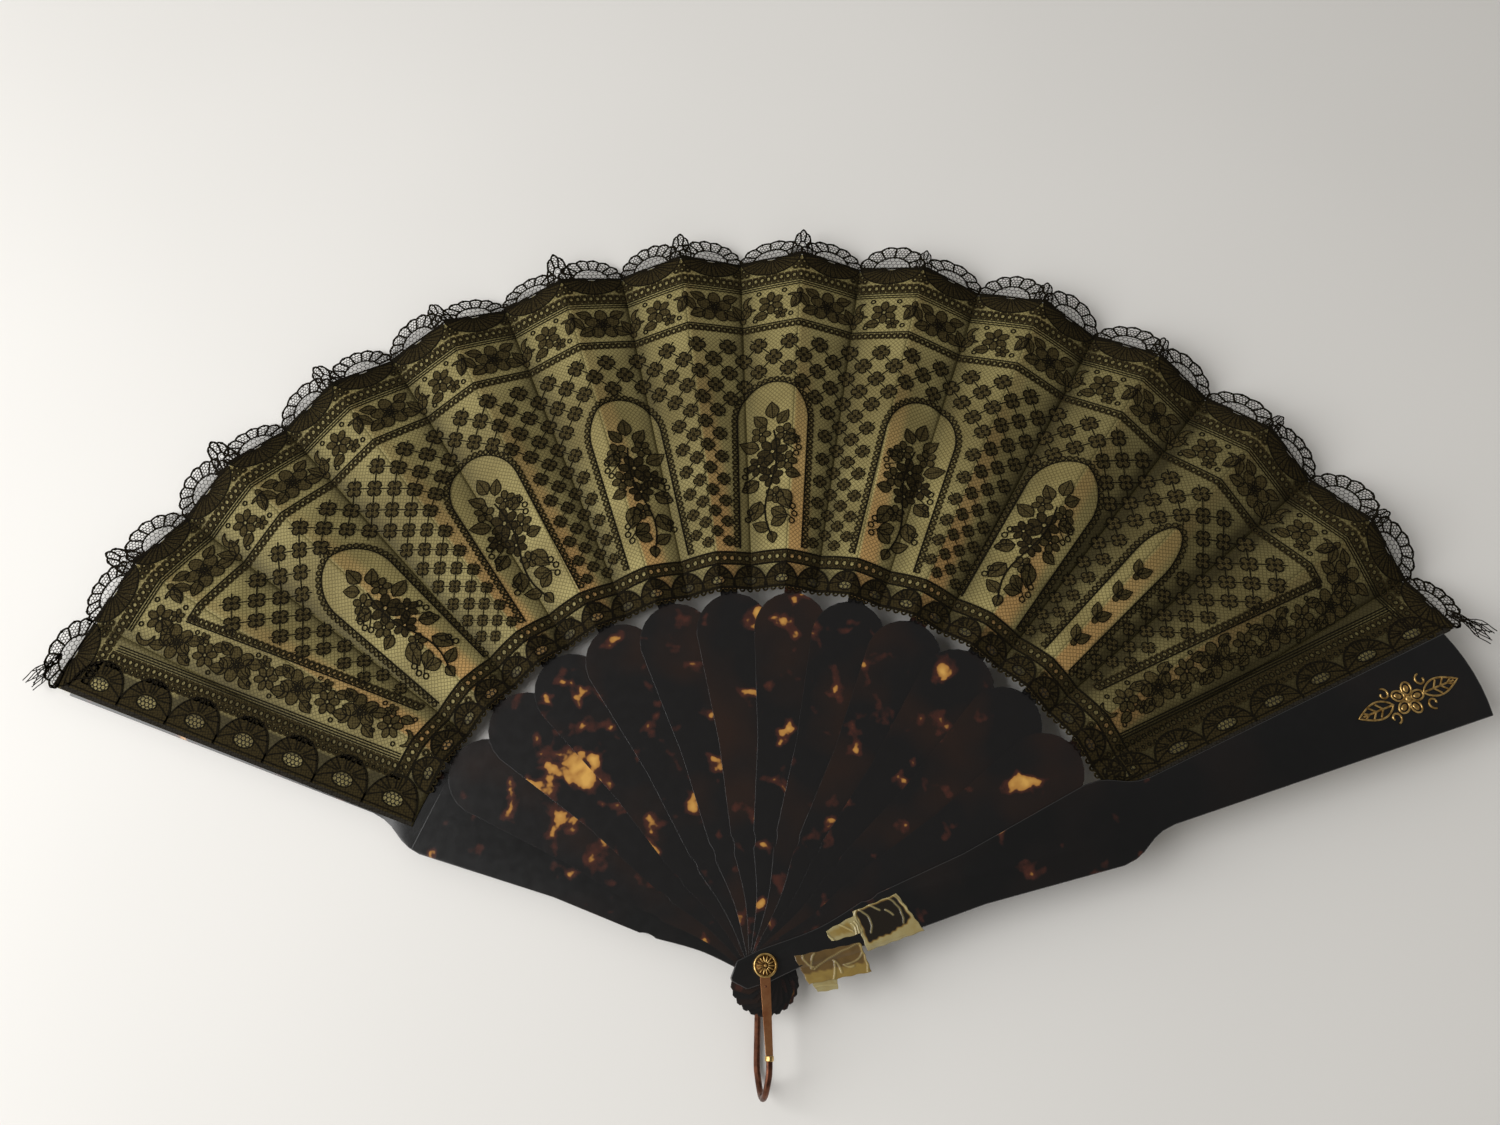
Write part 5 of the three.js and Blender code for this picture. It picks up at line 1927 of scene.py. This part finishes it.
@dataclass
class Tapes:
    """Old mending tape on the front guard's neck: two strips, a loose end and a torn flap."""

    finish: Material
    steps: int = 72
    thick: float = 0.12
    crumple: float = 0.4
    crease_width: float = 0.26
    crease_tone: float = 0.6
    ragged: float = 0.14
    shell_slope: float = 0.12
    shell_half: float = 2.6
    free_over: float = 2.0
    edge_blur: float = 0.9
    films: tuple[Film, ...] = (
        Film("shank_tape_film", ((39, 6), (58, 6), (62.5, -10.6), (39, -9.6)), (
            ((0.79, 0.0), (0.95, 0.3), (0.78, 0.68)), ((0.93, 0.0), (0.96, 0.2), (0.99, 0.42)),
            ((0.37, 0.0), (0.42, 0.06), (0.52, 0.2)), ((0.15, 0.03), (0.36, 0.28), (0.18, 0.62)),
            ((0.08, 0.0), (-0.04, 0.2), (0.03, 0.5)), ((0.62, 0.25), (0.66, 0.3), (0.7, 0.42)),
        ), 1.0, 0.02, (0.9, 0.7, 0.2, 2.6), 3.4, 0.0, 1.4, "shank_tape"),
        Film("shank_tape_loose_end", ((26.5, 3.1), (39.8, 4.6), (39.8, -2.7), (27.2, -1.2)), (
            ((0.45, 0.0), (0.6, 0.5), (0.75, 0.75)), ((0.8, 0.35), (0.9, 0.7), (0.8, 1.0)),
            ((0.9, 0.3), (0.95, 0.7), (0.9, 1.0)), ((0.0, 0.2), (0.02, 0.5), (0.08, 1.0)),
        ), 0.16, 0.0, (0.6, 3.4, 0.4, 0.6), 0.0, 0.2, 0.0),
        Film("neck_tape_film", ((11.5, -1.0), (37.5, -5.6), (37.5, -17.1), (13.1, -12.5)), (
            ((0.19, 0.55), (0.5, 0.2), (0.98, 0.02)), ((0.53, 0.4), (0.5, 0.7), (0.4, 1.0)),
            ((0.52, 0.38), (0.58, 0.5), (0.56, 0.85)), ((0.99, 0.28), (0.9, 0.62), (0.64, 0.6)),
            ((0.98, 0.08), (1.02, 0.6), (0.95, 0.97)), ((0.13, 0.0), (0.08, 0.3), (0.2, 0.48)),
            ((0.3, 0.05), (0.2, 0.2), (0.16, 0.52)), ((0.64, 0.6), (0.72, 0.75), (0.78, 0.7)),
        ), 0.5, 0.2, (0.0, 0.6, 0.0, 3.6), 0.0, 0.0, 0.8, "neck_tape"),
        Film("neck_tape_torn_flap", ((14.4, -12.4), (24.4, -14.4), (22.9, -18.2), (15.2, -16.4)), (
            ((0.0, 0.5), (0.5, 0.4), (1.0, 0.6)),
        ), 0.0, 0.0, (0.3, 0.3, 0.3, 0.3), 0.0, -0.5, 0.6),
    )

    def build(self) -> None:
        """Builds every strip."""
        for film in self.films:
            self.strip(film)

    def strip(self, film: Film) -> None:
        """Builds one strip, ragged at its edges, with a ridge along every crease.

        Args:
            film: What it is.
        """
        share = np.linspace(0, 1, self.steps + 1)
        run, down = np.meshgrid(share, share, indexing="ij")
        plan = self.spread(film, run, down)
        ridge = np.zeros_like(run)
        step = np.linspace(0, 1, 30)[:, None]
        for crease in film.creases:
            start, bend, end = np.array(crease)
            path = start * (1 - step) ** 2 + 2 * bend * step * (1 - step) + end * step ** 2
            line = self.spread(film, path[:, 0], path[:, 1])
            away = np.linalg.norm(plan[:, :, None] - line, axis=-1).min(axis=2)
            ridge = np.maximum(ridge, np.exp(-(away / self.crease_width) ** 2))
        along, across = plan[..., 0], plan[..., 1]
        free = np.clip((-across - self.shell_half - self.shell_slope * along) / self.free_over, 0, 1)
        held = self.stuck(film, run, down, plan)
        along = along + self.ragged * np.sin(1.7 * across + film.tone) * (2 * run - 1)
        across = across + self.ragged * np.sin(1.1 * along + film.tone) * (1 - 2 * down)
        height = GUARD_TOP + film.lift + self.crumple * ridge - film.droop * free ** 1.5
        points = np.dstack([along, across, height]).reshape(-1, 3)
        points[:, :2] = turned(points[:, :2], GUARD_ANGLE)
        mesh = mesh_of(film.name, points, grid_faces(*run.shape))
        mark(mesh, "held", held)
        mark(mesh, "creased", self.crease_tone * ridge)
        mesh.shade_smooth()
        obj = new_object(film.name, mesh, self.finish)
        thicken(obj, self.thick, 1)
        ready(obj, "front_guard", [film.node] if film.node else ())

    def spread(self, film: Film, run: ndarray, down: ndarray) -> ndarray:
        """Plan points of a strip at shares along and across it."""
        near_in, far_in, far_out, near_out = np.array(film.corners, float)
        inside = near_in + (far_in - near_in) * run[..., None]
        outside = near_out + (far_out - near_out) * run[..., None]
        return inside + (outside - inside) * down[..., None]

    def stuck(self, film: Film, run: ndarray, down: ndarray, plan: ndarray) -> ndarray:
        """How far each point has the tone of stuck film, with uneven edges of free film.

        Args:
            film: The strip.
            run: Shares along it.
            down: Shares across it.
            plan: Plan points at these shares.

        Returns:
            Tones from 0 to 1.
        """
        length = film.corners[1][0] - film.corners[0][0]
        width = film.corners[0][1] - film.corners[3][1]
        near, far, inside, outside = film.margins
        along, across = plan[..., 0], plan[..., 1]
        wave = 0.25 * np.sin(0.9 * along + 1.0) + 0.2 * np.sin(2.3 * along + 0.8 * across)
        covered = np.ones_like(run)
        for room, margin in ((run * length, near), ((1 - run) * length, far), (down * width, inside),
                             ((1 - down) * width, outside + film.flare * run ** 3)):
            if np.any(margin):
                covered *= np.clip((room - margin + wave * np.minimum(margin, 1.0)) / self.edge_blur, 0, 1)
        return film.edge_tone + (film.tone - film.edge_tone) * covered


@dataclass
class Sprig:
    """Generic gilt sprig on the front guard: a wire flower between two veined wire leaves."""

    finish: Material
    at: float = 288.0
    wire: float = 0.42
    wire_lift: float = 0.15
    sunk: float = 0.2
    petals: int = 5
    petal_ring: float = 4.3
    petal_half: tuple[float, float] = (2.7, 2.1)
    petal_dome: tuple[float, float, float] = (1.7, 1.2, 0.6)
    heart_dome: tuple[float, float, float] = (1.5, 1.5, 1.1)
    leaf_from: float = 7.2
    leaf_long: float = 16.5
    leaf_half: float = 3.6
    leaf_shape: float = 0.8
    midrib: float = 14.5
    vein_half: float = 2.9
    vein_run: float = 2.4
    curl_at: tuple[float, float] = (9.0, 5.2)
    curl_radius: float = 2.6
    curl_sweep: float = 300.0

    def loop(self, outline: ndarray, closed: bool = True) -> Shape:
        """A raised wire along an outline on the guard's face."""
        path = raised(outline + (self.at, 0), GUARD_TOP + self.wire_lift)
        path[:, :2] = turned(path[:, :2], GUARD_ANGLE)
        return tube(path, self.wire, 8, closed)

    def filling(self, place: ndarray, size: Sequence[float], turn: float, sides: int, rings: int) -> Shape:
        """A small dome on the guard's face."""
        x, y = turned(place + (self.at, 0), GUARD_ANGLE)
        return dome(x, y, GUARD_TOP - self.sunk, *size, turn, sides, rings)

    def flower(self) -> list[Shape]:
        """Wire petals with a domed filling each, round a domed heart.

        Returns:
            Its wires and domes.
        """
        parts = []
        for turn in np.arange(self.petals) * 360 / self.petals:
            place = polar(turn, self.petal_ring)
            parts.append(self.loop(oval(*place, *self.petal_half, 16, turn)))
            parts.append(self.filling(place, self.petal_dome, turn + GUARD_ANGLE, 12, 3))
        return parts + [self.filling(np.zeros(2), self.heart_dome, 0, 14, 4)]

    def leaf(self, side: int) -> list[Shape]:
        """A wire leaf with a midrib, veins and two curls.

        Args:
            side: 1 for the leaf towards the guard's end, -1 for the one towards the rivet.

        Returns:
            Its wires.
        """
        along = np.linspace(0, 1, 12)
        reach = side * (self.leaf_from + self.leaf_long * along)
        half = self.leaf_half * np.sin(np.pi * along ** self.leaf_shape)
        upper = np.stack([reach, half], axis=1)
        lower = np.stack([reach, -half], axis=1)[::-1][1:-1]
        midrib = np.stack([side * (self.leaf_from + self.midrib * along), along * 0], axis=1)
        parts = [self.loop(np.concatenate([upper, lower])), self.loop(midrib, False)]
        for place in (0.3, 0.5, 0.7):
            root = side * (self.leaf_from + self.leaf_long * place)
            rise = self.vein_half * math.sin(math.pi * (place + 0.1) ** self.leaf_shape)
            for hand in (-1, 1):
                tip = (root + side * self.vein_run, hand * rise)
                parts.append(self.loop(np.linspace((root, 0.0), tip, 4), False))
        step = np.linspace(0, 1, 14)
        curl = polar(90 + side * self.curl_sweep * step, self.curl_radius * (1 - 0.6 * step))
        curl += np.array(self.curl_at) * (side, 1)
        return parts + [self.loop(curl * (1, hand), False) for hand in (1, -1)]

    def build(self) -> None:
        """Builds the sprig as one piece of gilt wire with small domed fillings."""
        parts = [*self.flower(), *self.leaf(-1), *self.leaf(1)]
        solid_piece("guard_sprig_wire", parts, self.finish, "front_guard", ["guard_sprig"])


@dataclass
class Studio:
    """Pale floor, soft light from the left and the photograph's camera."""

    floor_half: float = 12.0
    floor_drop: float = 0.05
    wall_colour: str = "#f6f4f0"
    ceiling_colour: str = "#807e7c"
    room_strength: float = 0.85
    room_lean: float = 0.45
    key_watts: float = 17.0
    key_size: float = 1.0
    key_at: tuple[float, float, float] = (-1.0, -0.04, 0.85)
    key_aim: tuple[float, float, float] = (0.0, 0.15, 0.0)
    sensor: float = 36.0
    lens: float = 27.05
    tilt: float = 18.9
    yaw: float = 1.1
    camera_at: tuple[float, float, float] = (-6.02, 6.09, 482.0)

    def build(self) -> None:
        """Builds the floor, the light and the camera."""
        self.floor()
        self.light()
        self.camera()
        bpy.context.scene.view_settings.view_transform = "Standard"

    def floor(self) -> None:
        """Lays a plain floor under the fan."""
        half = self.floor_half
        corners = np.array([(-half, -half), (half, -half), (half, half), (-half, half)]) / MM
        mesh = mesh_of("floor", raised(corners, -self.floor_drop), [(0, 1, 2, 3)])
        new_object("floor", mesh, MattBoard().material())

    def light(self) -> None:
        """Sets a soft key from the upper left over a pale room that is brighter on that side."""
        world = bpy.data.worlds.new("room")
        bpy.context.scene.world = world
        world.use_nodes = True
        tree = world.node_tree
        add = partial(add_node, tree)
        upward = add("ShaderNodeTexCoord").outputs["Generated"]
        aside, _, rise = add("ShaderNodeSeparateXYZ", {"Vector": upward}).outputs
        tone = add("ShaderNodeValToRGB", {"Fac": rise}, stops=[
            (0.35, self.wall_colour), (0.85, self.ceiling_colour)])
        strength = add("ShaderNodeMapRange", {
            "Value": aside, "From Min": -1.0, "From Max": 1.0,
            "To Min": self.room_strength * (1 + self.room_lean),
            "To Max": self.room_strength * (1 - self.room_lean)})
        feed(tree, tree.nodes["Background"], {"Color": tone, "Strength": strength})
        key = bpy.data.lights.new("key", "AREA")
        key.energy = self.key_watts
        key.size = self.key_size
        lamp = new_object("key", key)
        lamp.location = self.key_at
        aim = Vector(self.key_aim) - lamp.location
        lamp.rotation_euler = aim.to_track_quat("-Z", "Y").to_euler()

    def camera(self) -> None:
        """Stands the camera where the photograph was taken from."""
        data = bpy.data.cameras.new("camera")
        data.lens = self.lens
        data.sensor_width = self.sensor
        data.clip_start = 0.01
        camera = new_object("camera", data)
        camera.location = Vector(self.camera_at) * MM
        camera.rotation_euler = (math.radians(self.tilt), 0.0, math.radians(self.yaw))
        bpy.context.scene.camera = camera


def main() -> None:
    """Builds the fan round its frame."""
    logging.basicConfig(level=logging.INFO, format="%(name)s: %(message)s")
    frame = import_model()
    nodes = frame["nodes"]
    Studio().build()
    shell_finish = Tortoiseshell().material()
    guard_finish = Tortoiseshell("dark_tortoiseshell", "#0b0b0b", "#15100e").material()
    copper = WornMetal("rubbed_copper", "#c08a5e", "#8f5c3c", 0.26, 0.42, 9.0).material()
    brown_wire = WornMetal("browned_copper", "#6f4735", "#35201a", 0.3, 0.5).material()
    gilt = WornMetal("worn_gilding", "#d2b070", "#7d5e2e", 0.24, 0.42, 2.5).material()
    # Gilding painted dark, as painted shade in the recess of the rivet head.
    recess_shade_gilt = WornMetal("recess_shade_gilding", "#5c4022", "#2a1b0e", 0.35, 0.55, 2.5).material()
    lace_finishes = {
        Layer.NET: LaceThread("lace_net", "#1d1a16", "#2b2822").material(),
        Layer.SHEER: LaceThread("lace_sheer_cloth", "#2c2514", "#463d23").material(),
        Layer.CLOTH: LaceThread("lace_close_cloth", "#1e190d", "#322a16").material(),
        Layer.CORD: LaceThread("lace_cord", "#0e0b07", "#171309").material(),
    }
    plan = LeafPlan(nodes)
    lace = LaceLeaf(plan, lace_finishes)
    # The back darkens less, by the same closeness and painted shade.
    silk_back = Silk("olive_gold_silk_back", net="#776b40", lace_and_shade="#73673c")
    silk = SilkLeaf(plan, Silk().material(), silk_back.material(), lace.lace_and_shade)
    silk_pieces = silk.build()
    lace_pieces = lace.build()
    for panel in plan.panels:
        plan.settle(lace_pieces[panel.name], panel, Slot.LACE)
        silk.declare(silk_pieces[panel.name], panel)
    Sticks(nodes, shell_finish, guard_finish).build()
    Rivet(nodes, gilt, recess_shade_gilt, copper).build()
    Bail(nodes, copper, brown_wire, gilt).build()
    Tapes(OldTape().material()).build()
    Sprig(gilt).build()


if __name__ == "__main__":
    main()
